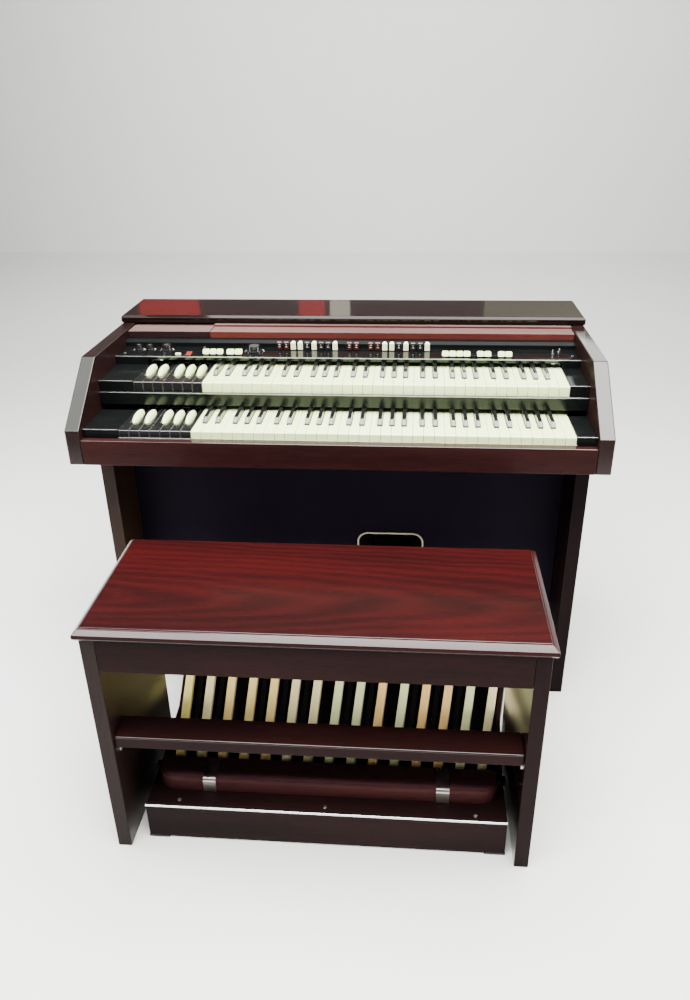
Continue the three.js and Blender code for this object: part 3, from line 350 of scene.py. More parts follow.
# Both legs are one wood: the left one's colours are lighter as painted light, and the right one's darker as
# painted shade.
leg_lit_and_shaded_tones = {
    "left": ((0.0170, 0.0092, 0.0062, 1), (0.032, 0.0175, 0.0115, 1), 0.10),
    "right": ((0.0032, 0.0012, 0.0018, 1), (0.0088, 0.0032, 0.0038, 1), 0.02),
}
for side, (deep, light, clear) in leg_lit_and_shaded_tones.items():
    leg_wood = lacquered_wood(side + "_leg_wood", "Z", deep, light, clear=clear)
    leg = rounded_copy(side + "_leg", side + "_leg_board", case_edge_round)
    set_material(leg, leg_wood)
    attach(leg, "console")
    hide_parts(side + "_leg")

# The key bed and the front rail: the bed is the thick board on which both keyboards stand, housed
# between the arms; the rail is a lacquered mahogany board that closes its front below the keys.
rail_edge_round = 2.2 * mm
rail_red = (0.012, 0.0040, 0.0044, 1)
rail_red_light = (0.032, 0.0100, 0.0090, 1)
bed = rounded_copy("key_bed", "key_bed_board", case_edge_round)
bed_wood = lacquered_wood("bed_wood", "X", dark_stain, dark_stain_light, gloss=0.2)
set_material(bed, bed_wood)
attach(bed, "console")
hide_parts("key_bed")
rail = rounded_copy("front_rail", "front_rail_board", rail_edge_round, segments=4)
rail_wood = lacquered_wood("rail_wood", "X", rail_red, rail_red_light)
rail_top_wood = lacquered_wood("rail_top_wood", "X", rail_red, rail_red_light, gloss=0.08, clear=1.0)
set_material(rail, rail_wood, rail_top_wood)
for face in rail.data.polygons:
    face.material_index = int(face.normal.z > 0.3)
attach(rail, "console")
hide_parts("front_rail")

# The knee panel: a near-black satin board set back between the legs, with an opening for the
# expression pedal. It is sprayed, so it shows a fine orange peel and no grain.
panel_edge_round = 1.0 * mm
peel_width = 2.2 * mm
peel_depth = 0.1 * mm
haze_width = 180 * mm
panel = rounded_copy("knee_panel", "knee_panel_board", panel_edge_round, segments=2)
panel_paint, start = new_material("knee_panel_paint")
place = object_place(start)
peel = noise(place, peel_width, detail=2.0)
haze = noise(place, haze_width, detail=3.0)
close_surface(start, {
    "Base Color": blend(haze, (0.0078, 0.0058, 0.0120, 1), (0.0118, 0.0088, 0.0175, 1)),
    "Roughness": 0.34 + haze * 0.14,
    "Normal": bump(peel, 0.10, peel_depth),
    "Specular IOR Level": 0.02,
})
set_material(panel, panel_paint)
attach(panel, "console")
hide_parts("knee_panel")

# The bow round the opening for the expression pedal: one flat bar of pale metal, bent over a round
# former at its two upper corners and pinned to the face of the knee panel.
bow_bar = 4.2 * mm
bow_thickness = 5 * mm
bow_corner = 25 * mm
bow_foot = 20 * mm
bow_edge_round = 1.0 * mm
seat_gap = 0.3 * mm
brushing_width = 0.6 * mm
brushing_depth = 0.05 * mm
tarnish_width = 60 * mm
opening_left = 36 * mm
opening_right = 204 * mm
opening_sill = 222 * mm
opening_top = 405 * mm
# How close to a face or a corner an edge still counts as lying there.
near = 1 * mm
# How much of a direction has to lie along an axis for it to count as facing that way, and how much
# for a face that only leans that way.
facing = 0.9
leaning = 0.5


def box_piece(name, low, high):
    """A box between two corners, ready to be shaped."""
    low, high = Vector(low), Vector(high)
    bpy.ops.object.select_all(action="DESELECT")
    bpy.ops.mesh.primitive_cube_add(size=1, location=(low + high) / 2, scale=high - low)
    bpy.ops.object.transform_apply(location=True, rotation=True, scale=True)
    piece = bpy.context.object
    piece.name = name
    piece.data.name = name
    return piece


def pick(piece, part, test):
    """Opens a piece for editing, with only the faces or edges selected that a test accepts."""
    activate(piece)
    bpy.ops.object.mode_set(mode="EDIT")
    bpy.ops.mesh.select_mode(type=part)
    bpy.ops.mesh.select_all(action="DESELECT")
    bpy.ops.object.mode_set(mode="OBJECT")
    mesh = piece.data
    if part == "FACE":
        for face in mesh.polygons:
            face.select = test(face.center, face.normal)
    else:
        for edge in mesh.edges:
            first, last = (mesh.vertices[corner].co for corner in edge.vertices)
            edge.select = test((first + last) / 2, (last - first).normalized())
    bpy.ops.object.mode_set(mode="EDIT")


def done():
    """Leaves edit mode."""
    bpy.ops.object.mode_set(mode="OBJECT")


def draw_out(x=0, y=0, z=0):
    """Extrudes the picked faces by a distance."""
    bpy.ops.mesh.extrude_region_move(TRANSFORM_OT_translate={"value": (x, y, z)})


def round_picked(width, segments):
    """Rounds the picked edges and leaves edit mode."""
    bpy.ops.mesh.bevel(offset=width, segments=segments, affect="EDGES")
    done()


def turn_corner(x):
    """Bends the bow's open end through a quarter turn about one of its upper corners."""
    corner = (x, bow_middle, turn_height)
    bpy.ops.mesh.spin(steps=10, angle=-math.pi / 2, center=corner, axis=(0, 1, 0))


panel_low, panel_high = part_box("knee_panel")
bow_back = panel_low.y - seat_gap
bow_front = bow_back - bow_thickness
bow_middle = (bow_front + bow_back) / 2
turn_height = opening_top - bow_corner
bow = box_piece(
    "opening_bow",
    (opening_left - bow_bar, bow_front, opening_sill),
    (opening_left, bow_back, opening_sill + bow_foot),
)
pick(bow, "FACE", lambda centre, normal: normal.z > leaning)
draw_out(z=turn_height - opening_sill - bow_foot)
turn_corner(opening_left + bow_corner)
draw_out(x=opening_right - opening_left - 2 * bow_corner)
turn_corner(opening_right - bow_corner)
draw_out(z=opening_sill - turn_height)
bpy.ops.mesh.select_all(action="SELECT")
bpy.ops.mesh.remove_doubles(threshold=merge_distance)
bpy.ops.mesh.normals_make_consistent(inside=False)
done()
round_edges(bow, bow_edge_round, segments=3, angle=50)
bow_metal, start = new_material("bow_metal")
brushing = noise(object_place(start), brushing_width, (1, 1, 0.1), detail=2.0)
tarnish = noise(object_place(start), tarnish_width, detail=3.0)
close_surface(start, {
    "Base Color": blend(tarnish, (0.78, 0.72, 0.55, 1), (0.62, 0.55, 0.38, 1)),
    "Metallic": 0.85,
    "Roughness": 0.30 + brushing * 0.12,
    "Normal": bump(brushing, 0.1, brushing_depth),
})
set_material(bow, bow_metal)
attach(bow, "console")

# The expression pedal: a black enamelled shoe with a raised rim and a ribbed rubber tread. It rocks
# on a boss just behind the knee panel, with its toe leaning up into the opening.
shoe_low, shoe_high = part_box("expression_pedal")
shoe_x = (shoe_low.x + shoe_high.x) / 2
shoe_half = (shoe_high.x - shoe_low.x) / 2
shoe_pivot_y = (panel_low.y + panel_high.y) / 2
shoe_pivot_z = 231.3 * mm
shoe_tilt = math.radians(40)
shoe_heel = -100 * mm
shoe_toe = 140 * mm
shoe_bottom = 4.5 * mm
shoe_top = 18.5 * mm
rim_width = 4.5 * mm
rim_height = 3.5 * mm
sole_rim = 5 * mm
sole_depth = 3 * mm
boss_radius = 9 * mm
boss_rim = 3 * mm
boss_dish = 1 * mm
shoe_edge_round = 1.0 * mm
scuff_width = 14 * mm
scuff_depth = 0.1 * mm
tread_margin = 6 * mm
tread_thickness = 1.6 * mm
rib_count = 26
rib_pitch = 8 * mm
rib_lead = 14 * mm
rib_length = 4.6 * mm
rib_margin = 2 * mm
rib_sink = 0.2 * mm
rib_top = 4.0 * mm
rib_round = 1.1 * mm
dust_width = 20 * mm


def join(pieces, name):
    """Joins objects into one."""
    activate(pieces[0])
    for piece in pieces:
        piece.select_set(True)
    bpy.ops.object.join()
    whole = bpy.context.object
    whole.name = name
    whole.data.name = name
    return whole


def copied(piece, name, change):
    """A copy with its own mesh, moved by a vector or changed by a matrix."""
    twin = bpy.data.objects.new(name, piece.data.copy())
    twin.data.name = name
    matrix = change if isinstance(change, Matrix) else Matrix.Translation(change)
    twin.data.transform(matrix)
    bpy.context.scene.collection.objects.link(twin)
    return twin


def tilted(piece, angle, place):
    """Turns a piece about the x axis, then sets it in its place, all in its mesh."""
    piece.data.transform(Matrix.Translation(place) @ Matrix.Rotation(angle, 4, "X"))
    return piece


def cylinder(radius, height, sides, middle=(0, 0, 0), turn=(0, 0, 0)):
    """A cylinder about its middle, upright unless it is turned, ready to be shaped."""
    bpy.ops.object.select_all(action="DESELECT")
    bpy.ops.mesh.primitive_cylinder_add(
        vertices=sides,
        radius=radius,
        depth=height,
        location=middle,
        rotation=turn,
    )
    bpy.ops.object.transform_apply(location=True, rotation=True, scale=True)
    return bpy.context.object


shoe = box_piece("expression_shoe", (-shoe_half, shoe_heel, shoe_bottom), (shoe_half, shoe_toe, shoe_top))
pick(shoe, "FACE", lambda centre, normal: normal.z > leaning)
bpy.ops.mesh.inset(thickness=rim_width, depth=0)
draw_out(z=-rim_height)
done()
pick(shoe, "FACE", lambda centre, normal: normal.z < -leaning)
bpy.ops.mesh.inset(thickness=sole_rim, depth=0)
draw_out(z=sole_depth)
done()
boss = cylinder(boss_radius, 2 * shoe_half, 32, turn=(0, math.pi / 2, 0))
pick(boss, "FACE", lambda centre, normal: abs(normal.x) > facing)
bpy.ops.mesh.inset(thickness=boss_rim, depth=-boss_dish)
done()
shoe = join([shoe, boss], "expression_shoe")
round_edges(shoe, shoe_edge_round, segments=2)
tilted(shoe, shoe_tilt, (shoe_x, shoe_pivot_y, shoe_pivot_z))
enamel, start = new_material("shoe_enamel")
scuffs = noise(object_place(start), scuff_width, (0.3, 1, 1), detail=4.0)
close_surface(start, {
    "Base Color": blend(ease(scuffs, 0.55, 0.8), (0.010, 0.010, 0.012, 1), (0.05, 0.05, 0.052, 1)),
    "Metallic": 0.3,
    "Roughness": 0.32 + scuffs * 0.2,
    "Normal": bump(scuffs, 0.15, scuff_depth),
})
set_material(shoe, enamel)
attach(shoe, "expression_pedal")
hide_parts("expression_pedal")
mat_floor = shoe_top - rim_height
mat_top = mat_floor + tread_thickness
tread_half = shoe_half - tread_margin
tread_sheet = box_piece(
    "tread_sheet",
    (-tread_half, shoe_heel + tread_margin, mat_floor),
    (tread_half, shoe_toe - tread_margin, mat_top),
)
first_rib_y = shoe_heel + rib_lead
first_rib = box_piece(
    "tread_rib",
    (-tread_half + rib_margin, first_rib_y, mat_top - rib_sink),
    (tread_half - rib_margin, first_rib_y + rib_length, mat_floor + rib_top),
)
pick(first_rib, "EDGE", lambda centre, along: centre.z > mat_floor + rib_top - near)
round_picked(rib_round, 3)
ribs = [first_rib]
for i in range(1, rib_count):
    ribs.append(copied(first_rib, "tread_rib", (0, i * rib_pitch, 0)))
tread = join([tread_sheet] + ribs, "expression_tread")
smooth_faces(tread)
tilted(tread, shoe_tilt, (shoe_x, shoe_pivot_y, shoe_pivot_z))
rubber, start = new_material("tread_rubber")
dust = noise(object_place(start), dust_width, detail=4.0)
close_surface(start, {
    "Base Color": blend(ease(dust, 0.5, 0.8), (0.012, 0.012, 0.012, 1), (0.035, 0.034, 0.032, 1)),
    "Roughness": 0.62 + dust * 0.2,
})
set_material(tread, rubber)
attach(tread, "expression_pedal")

# The back of the case: a thin board let in between the legs, with rows of air slots milled
# through its upper half for the amplifier, and a row of round-headed screws round its edge.
slot_rows = 5
slot_columns = 8
slot_length = 70 * mm
slot_height = 7 * mm
slot_pitch_x = 112 * mm
slot_pitch_z = 24 * mm
lowest_slot_z = 620 * mm
slot_corner = 3.4 * mm
cut_overrun = 10 * mm
back_edge_round = 0.8 * mm
back_red = (0.018, 0.006, 0.006, 1)
back_red_light = (0.04, 0.014, 0.012, 1)
back_screw_radius = 3.8 * mm
back_screw_height = 1.8 * mm
screw_sink = 0.1 * mm
screw_margin_x = 18 * mm
screw_margin_z = 14 * mm
screw_spans_across = 8
screw_spans_up = 5
rub_width = 0.8 * mm
back_low, back_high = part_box("back_panel")
back = merged_copy("back_panel", "back_panel_board")


def cut_with(piece, cutter):
    """Cuts one solid out of another."""
    activate(piece)
    cut = piece.modifiers.new("cut", "BOOLEAN")
    cut.operation = "DIFFERENCE"
    cut.solver = "EXACT"
    cut.object = cutter
    bpy.ops.object.modifier_apply(modifier=cut.name)
    bpy.data.objects.remove(cutter)


slot_cutters = []
for row in range(slot_rows):
    for column in range(slot_columns):
        x = (column - (slot_columns - 1) / 2) * slot_pitch_x
        z = lowest_slot_z + row * slot_pitch_z
        slot_cutter = box_piece(
            "slot_cutter",
            (x - slot_length / 2, back_low.y - cut_overrun, z),
            (x + slot_length / 2, back_high.y + cut_overrun, z + slot_height),
        )
        pick(slot_cutter, "EDGE", lambda centre, along: abs(along.y) > facing)
        round_picked(slot_corner, 5)
        slot_cutters.append(slot_cutter)
cut_with(back, join(slot_cutters, "slot_cutters"))
round_edges(back, back_edge_round, segments=2)
back_wood = lacquered_wood("back_wood", "X", back_red, back_red_light, gloss=0.3)
set_material(back, back_wood)
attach(back, "console")
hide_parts("back_panel")


def screw_head(radius, height):
    """A domed screw head with a milled slot, standing on the origin along z."""
    head = cylinder(radius, height, 20, middle=(0, 0, height / 2))
    pick(head, "FACE", lambda centre, normal: normal.z > facing)
    bpy.ops.mesh.inset(thickness=radius * 0.35, depth=height * 0.25)
    done()
    groove_half = radius * 0.11
    groove = box_piece("groove", (-radius, -groove_half, height * 0.6), (radius, groove_half, height * 2))
    cut_with(head, groove)
    smooth_faces(head)
    return head


def lay_screws(name, radius, height, seats):
    """Copies of one screw head, each set by its own matrix, as one piece of the console."""
    head = screw_head(radius, height)
    screws = join([copied(head, "screw_copy", seat) for seat in seats], name)
    bpy.data.objects.remove(head)
    set_material(screws, screw_steel)
    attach(screws, "console")


screw_steel, start = new_material("screw_steel")
rub = noise(object_place(start), rub_width, detail=3.0)
close_surface(start, {
    "Base Color": blend(rub, (0.55, 0.53, 0.50, 1), (0.72, 0.70, 0.67, 1)),
    "Metallic": 1.0,
    "Roughness": 0.22 + rub * 0.2,
})
first_x = back_low.x + screw_margin_x
last_x = back_high.x - screw_margin_x
first_z = back_low.z + screw_margin_z
last_z = back_high.z - screw_margin_z
screw_places = []
for i in range(screw_spans_across + 1):
    x = first_x + i * (last_x - first_x) / screw_spans_across
    screw_places += [(x, first_z), (x, last_z)]
for i in range(1, screw_spans_up):
    z = first_z + i * (last_z - first_z) / screw_spans_up
    screw_places += [(first_x, z), (last_x, z)]
face_back = Matrix.Rotation(-math.pi / 2, 4, "X")
back_seats = [Matrix.Translation((x, back_high.y - screw_sink, z)) @ face_back for x, z in screw_places]
lay_screws("back_panel_screws", back_screw_radius, back_screw_height, back_seats)

# The two end arms: 33 mm mahogany boards with a straight sloping nose, which hold the keyboards
# between them and carry the top board. They stand proud of the rail at the front.
arm_edge_round = 2.4 * mm
arm_red = (0.0075, 0.0032, 0.0034, 1)
arm_red_light = (0.019, 0.0078, 0.0068, 1)
arm_wood = lacquered_wood("arm_wood", "Y", arm_red, arm_red_light, gloss=0.055, clear=1.0)
arm_flank_wood = lacquered_wood("arm_flank_wood", "Y", arm_red, arm_red_light, gloss=0.25, clear=0.15)
for side in ("left", "right"):
    arm = rounded_copy(side + "_arm", side + "_arm_board", arm_edge_round, segments=4)
    set_material(arm, arm_wood, arm_flank_wood)
    for face in arm.data.polygons:
        face.material_index = int(abs(face.normal.x) > facing)
    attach(arm, "console")
    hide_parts(side + "_arm")

# The top board: a 20 mm board with a half-round moulding on its front and ends and softly rounded
# front corners. It lies on the arms and overhangs them by a few millimetres.
top_corner = 5 * mm
top_edge_round = 2.2 * mm
top_rings = (400 * mm, 50 * mm, 0.02, 20 * mm)
top_red = (0.0030, 0.0011, 0.0012, 1)
top_red_light = (0.0080, 0.0024, 0.0022, 1)
top_low, top_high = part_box("top_board")
top_board = merged_copy("top_board", "top_board_moulded")
pick(top_board, "EDGE", lambda centre, along: abs(along.z) > facing and centre.y < top_low.y + near)
round_picked(top_corner, 4)
round_edges(top_board, top_edge_round, segments=4, angle=20)
top_wood = lacquered_wood(
    "top_wood", "X", top_red, top_red_light, gloss=0.05, clear=0.36, ring_heart=top_rings
)
set_material(top_board, top_wood)
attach(top_board, "console")
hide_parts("top_board")

# The wooden board behind the controls: two sections of red mahogany that meet at a seam, the long
# one with a raised ledge along its back. Its front edge hangs over the drawbar box.
# Two of its finishes are painted light: the faces left of the seam take darker colours as painted shade,
# and every top face takes a pale pink as a painted sheen.
cover_red = (0.045, 0.0110, 0.0095, 1)
cover_red_light = (0.105, 0.0240, 0.0190, 1)
cover_painted_shade = (0.0080, 0.0040, 0.0050, 1)
cover_painted_shade_light = (0.020, 0.0090, 0.0100, 1)
cover_painted_sheen = (0.078, 0.047, 0.045, 1)
cover_painted_sheen_light = (0.140, 0.088, 0.080, 1)
cover_seam_x = -355 * mm
cover_edge_round = 1.6 * mm
cover = rounded_copy("cover_board", "cover_board_sections", cover_edge_round, segments=4)
cover_wood = lacquered_wood("cover_wood", "X", cover_red, cover_red_light, gloss=0.10)
cover_shaded_left_wood = lacquered_wood("cover_shaded_left_wood", "X", cover_painted_shade, cover_painted_shade_light, gloss=0.10)
cover_sheen_top_wood = lacquered_wood("cover_sheen_top_wood", "X", cover_painted_sheen, cover_painted_sheen_light, gloss=0.2)
set_material(cover, cover_wood, cover_shaded_left_wood, cover_sheen_top_wood)
# Top faces get the painted sheen, and faces left of the seam get the painted shade.
for face in cover.data.polygons:
    if face.normal.z > 0.7:
        face.material_index = 2
    elif face.center.x < cover_seam_x:
        face.material_index = 1
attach(cover, "console")
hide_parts("cover_board")

# The key frames: moulded black blocks with polished cheeks on both sides of the keys, and a floor
# and a rocking rail behind them. The name board between the manuals is a bare black gloss strip.
frame_edge_round = 0.9 * mm
name_edge_round = 0.6 * mm
hairline_width = 0.5 * mm
hairline_depth = 0.03 * mm
print_width = 40 * mm
reflection_green = (0.80, 1.0, 0.92, 1)
reflection_grey = (0.94, 1.0, 1.0, 1)


def polished_black(name, tint, shine, dullness):
    """Black gloss plastic: hairlines from wiping, and dull patches where hands rest."""
    material, start = new_material(name)
    place = object_place(start)
    hairlines = noise(place, hairline_width, (0.12, 1, 1), detail=2.0)
    prints = noise(place, print_width, detail=3.0)
    close_surface(start, {
        "Base Color": blend(prints, (0.0022, 0.0026, 0.0028, 1), (0.0050, 0.0058, 0.0056, 1)),
        "Roughness": dullness + ease(prints, 0.45, 0.8) * 0.10,
        "Specular IOR Level": shine,
        "Specular Tint": tint,
        "Normal": bump(hairlines, 0.03, hairline_depth),
    })
    return material


name_board_black = polished_black("name_board_black", reflection_grey, 0.30, 0.17)
frame_black = polished_black("frame_black", reflection_grey, 0.16, 0.16)
deck_black = polished_black("deck_black", reflection_green, 0.36, 0.09)
housing_black = polished_black("housing_black", reflection_grey, 0.06, 0.35)
for manual in ("lower", "upper"):
    key_frame = rounded_copy(manual + "_key_frame", manual + "_key_frame_block", frame_edge_round)
    set_material(key_frame, frame_black)
    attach(key_frame, "console")
    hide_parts(manual + "_key_frame")
name_low, name_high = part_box("name_board")
name_board = rounded_copy("name_board", "name_board_strip", name_edge_round)
set_material(name_board, name_board_black)
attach(name_board, "console")
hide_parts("name_board")

# Bright metal edge strips: half-round aluminium pressed onto the front edges of the cheek blocks,
# the name board and the control deck, and a flat slip between the lower keys and the rail.
strip_edge_round = 0.6 * mm
cheek_gap = 0.9 * mm
drawn_width = 0.7 * mm
drawn_depth = 0.04 * mm
age_width = 90 * mm
frame_low, frame_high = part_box("lower_key_frame")
upper_low, upper_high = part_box("upper_key_frame")
keys_low, keys_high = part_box("lower_naturals")
presets_low, presets_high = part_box("lower_presets")
rail_low, rail_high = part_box("front_rail")
deck_low, deck_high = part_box("control_deck")
strip_metal, start = new_material("strip_metal")
place = object_place(start)
drawn = noise(place, drawn_width, (0.02, 1, 1), detail=2.0)
age = noise(place, age_width, detail=3.0)
close_surface(start, {
    "Base Color": blend(age, (0.42, 0.43, 0.42, 1), (0.26, 0.27, 0.26, 1)),
    "Metallic": 1.0,
    "Roughness": 0.30 + drawn * 0.14,
    "Normal": bump(drawn, 0.1, drawn_depth),
})
cheek_left = presets_low.x - cheek_gap
cheek_right = keys_high.x + cheek_gap
# How far a strip stands out before the face that it edges, reaches behind it, hangs below the top
# and rises over it.
cheek_wrap = (0.5 * mm, 1.6 * mm, 1.2 * mm, 0.5 * mm)
name_wrap = (0.7 * mm, 2.2 * mm, 3.4 * mm, -0.9 * mm)
deck_wrap = (0.7 * mm, 1.8 * mm, 1.8 * mm, 0.5 * mm)
slip_wrap = (-0.3 * mm, 1.9 * mm, 9 * mm, 1.4 * mm)
# Each strip's left and right end, the face and the top of what it edges, and its wrap.
strips = {
    "lower_left_cheek_strip": (frame_low.x, cheek_left, frame_low.y, frame_high.z, cheek_wrap),
    "lower_right_cheek_strip": (cheek_right, frame_high.x, frame_low.y, frame_high.z, cheek_wrap),
    "upper_left_cheek_strip": (frame_low.x, cheek_left, upper_low.y, upper_high.z, cheek_wrap),
    "upper_right_cheek_strip": (cheek_right, frame_high.x, upper_low.y, upper_high.z, cheek_wrap),
    "name_board_strip_metal": (name_low.x, name_high.x, name_low.y, name_high.z, name_wrap),
    "deck_edge_strip": (deck_low.x, deck_high.x, deck_low.y, deck_high.z, deck_wrap),
    "key_slip": (rail_low.x, rail_high.x, rail_high.y, rail_high.z, slip_wrap),
}
for name, (left, right, face_y, top, (out, inward, down, up)) in strips.items():
    strip = box_piece(name, (left, face_y - out, top - down), (right, face_y + inward, top + up))
    round_edges(strip, strip_edge_round)
    set_material(strip, strip_metal)
    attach(strip, "console")

# The playing naturals: 36 ivory plastic keys on each manual, square-fronted, with the top edge
# rolled over at the front, moulded with notches beside the raised keys.
front_roll = 2.6 * mm
natural_edge_round = 0.55 * mm
yellowing_width = 70 * mm
grime_width = 4 * mm
grime_depth = 0.05 * mm
glow_reach = (4 * mm, 3 * mm, 2 * mm)
ivory, start = new_material("ivory_plastic")
place = object_place(start)
yellowing = noise(place, yellowing_width, (1.6, 1, 1), detail=3.0)
grime = noise(place, grime_width, (1, 0.3, 1), detail=3.0)
aged = blend(yellowing, (0.82, 0.99, 0.48, 1), (0.89, 1.0, 0.52, 1))
close_surface(start, {
    "Base Color": blend(ease(grime, 0.62, 0.8) * 0.25, aged, (0.55, 0.55, 0.42, 1)),
    "Roughness": 0.20 + grime * 0.14,
    "Subsurface Weight": 0.08,
    "Subsurface Radius": glow_reach,
    "Normal": bump(grime, 0.05, grime_depth),
})


def round_front(piece, front, top, width, segments=4):
    """Rounds the long edge along x where a piece's front meets its top."""
    pick(piece, "EDGE", lambda centre, along: (
        abs(along.x) > facing and centre.y < front + near and centre.z > top - near
    ))
    round_picked(width, segments)


for manual in ("lower", "upper"):
    low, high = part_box(manual + "_naturals")
    naturals = merged_copy(manual + "_naturals", manual + "_natural_keys")
    round_front(naturals, low.y, high.z, front_roll)
    round_edges(naturals, natural_edge_round, segments=2, angle=40)
    set_material(naturals, ivory)
    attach(naturals, manual + "_naturals")
    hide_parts(manual + "_naturals")

# The raised playing keys: 25 black plastic bodies on each manual, tapered towards a narrow top, with
# a sloping front, on tails that meet in one rail behind the naturals.
natural_count = 36
octave_width = 165 * mm
natural_pitch = octave_width / 7
half_gap = 0.45 * mm
sharp_width = 10.5 * mm
sharp_top_width_share = 0.84
sharp_front_inset = 50.6 * mm
sharp_length = 95.4 * mm
sharp_slope = 11 * mm
sharp_slope_rise = 9 * mm
sharp_foot = 0.5 * mm
sharp_edge_round = 0.9 * mm
tail_lift = 2.6 * mm
tail_height = 6.9 * mm
tail_overlap = 9 * mm
tail_rail_depth = 12 * mm
tail_rail_height = 7 * mm
wear_width = 6 * mm
wear_depth = 0.06 * mm
# In each octave, the natural that a raised key comes after and its shift in shares of a key.
octave_sharps = ((0, -0.12), (1, 0.12), (3, -0.16), (4, 0.0), (5, 0.16))
sharp_black, start = new_material("sharp_black")
place = object_place(start)
wear = noise(place, wear_width, (1, 0.25, 1), detail=3.0)
close_surface(start, {
    "Base Color": blend(wear, (0.0055, 0.0058, 0.0058, 1), (0.012, 0.0125, 0.012, 1)),
    "Roughness": 0.14 + ease(wear, 0.4, 0.8) * 0.12,
    "Specular IOR Level": 0.95,
    "Normal": bump(wear, 0.06, wear_depth),
})
for manual in ("lower", "upper"):
    low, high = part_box(manual + "_sharps")
    naturals_low, naturals_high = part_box(manual + "_naturals")
    front = naturals_low.y + sharp_front_inset
    lip_z = high.z - sharp_slope_rise
    first = box_piece(
        "raised_key",
        (-sharp_width / 2, front, low.z + sharp_foot),
        (sharp_width / 2, front + sharp_length, lip_z),
    )
    middle_y = front + sharp_length / 2
    pick(first, "FACE", lambda centre, normal: normal.z > leaning)
    draw_out(z=sharp_slope_rise)
    bpy.ops.transform.resize(value=(sharp_top_width_share, 1, 1), center_override=(0, middle_y, high.z))
    done()
    pick(first, "EDGE", lambda centre, along: (
        abs(along.x) > facing and centre.z > high.z - near and centre.y < middle_y
    ))
    bpy.ops.transform.translate(value=(0, sharp_slope, 0))
    done()
    pick(first, "EDGE", lambda centre, along: centre.z > lip_z - merge_distance and abs(along.z) < 0.99)
    round_picked(sharp_edge_round, 3)
    smooth_faces(first, angle=40)
    tail_bottom = naturals_high.z + tail_lift
    tail = box_piece(
        "raised_key_tail",
        (-sharp_width / 2, front + sharp_length - tail_overlap, tail_bottom),
        (sharp_width / 2, high.y, tail_bottom + tail_height),
    )
    keys = []
    for octave in range(0, natural_count, 7):
        for after, offset in octave_sharps:
            if octave + after + 1 < natural_count:
                x = naturals_low.x - half_gap + (octave + after + 1 + offset) * natural_pitch
                keys.append(copied(first, "raised_key_copy", (x, 0, 0)))
                keys.append(copied(tail, "raised_key_tail_copy", (x, 0, 0)))
    tail_rail = box_piece(
        "raised_key_rail",
        (low.x, high.y - tail_rail_depth, tail_bottom),
        (high.x, high.y, tail_bottom + tail_rail_height),
    )
    bpy.data.objects.remove(first)
    bpy.data.objects.remove(tail)
    sharps = join(keys + [tail_rail], manual + "_raised_keys")
    set_material(sharps, sharp_black)
    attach(sharps, manual + "_sharps")
    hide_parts(manual + "_sharps")

# The preset keys: seven black naturals and five fat rounded ivory caps at the left end of each
# manual, the other way round from the playing keys, on one rail of their own.
preset_edge_round = 0.9 * mm
preset_rail_depth = 20 * mm
preset_rail_drop = 1 * mm
notch_half = 8.25 * mm
notch_front_inset = 48 * mm
notch_overrun = 5 * mm
brown_width = 25 * mm
highlight_variation_width = 12 * mm
cap_width = 18.0 * mm
cap_front_inset = 44 * mm
cap_length = 79 * mm
cap_rise = 12.6 * mm
cap_sink = 3 * mm
cap_stem = 6 * mm
preset_black, start = new_material("preset_black")
place = object_place(start)
brown_edge = noise(place, brown_width, detail=2.0)
close_surface(start, {
    "Base Color": blend(brown_edge, (0.0050, 0.0062, 0.0064, 1), (0.0090, 0.0080, 0.0080, 1)),
    "Roughness": 0.12 + brown_edge * 0.08,
    "Specular IOR Level": 0.6,
    "Specular Tint": reflection_grey,
})
# The preset naturals' bevels take a lighter grey to brown than their faces: a painted highlight along every
# edge.
preset_edge_highlight, start = new_material("preset_edge_highlight")
highlight_variation = noise(object_place(start), highlight_variation_width, detail=2.0)
close_surface(start, {
    "Base Color": blend(highlight_variation, (0.045, 0.055, 0.058, 1), (0.085, 0.070, 0.065, 1)),
    "Roughness": 0.22 + highlight_variation * 0.10,
    "Specular IOR Level": 0.9,
})
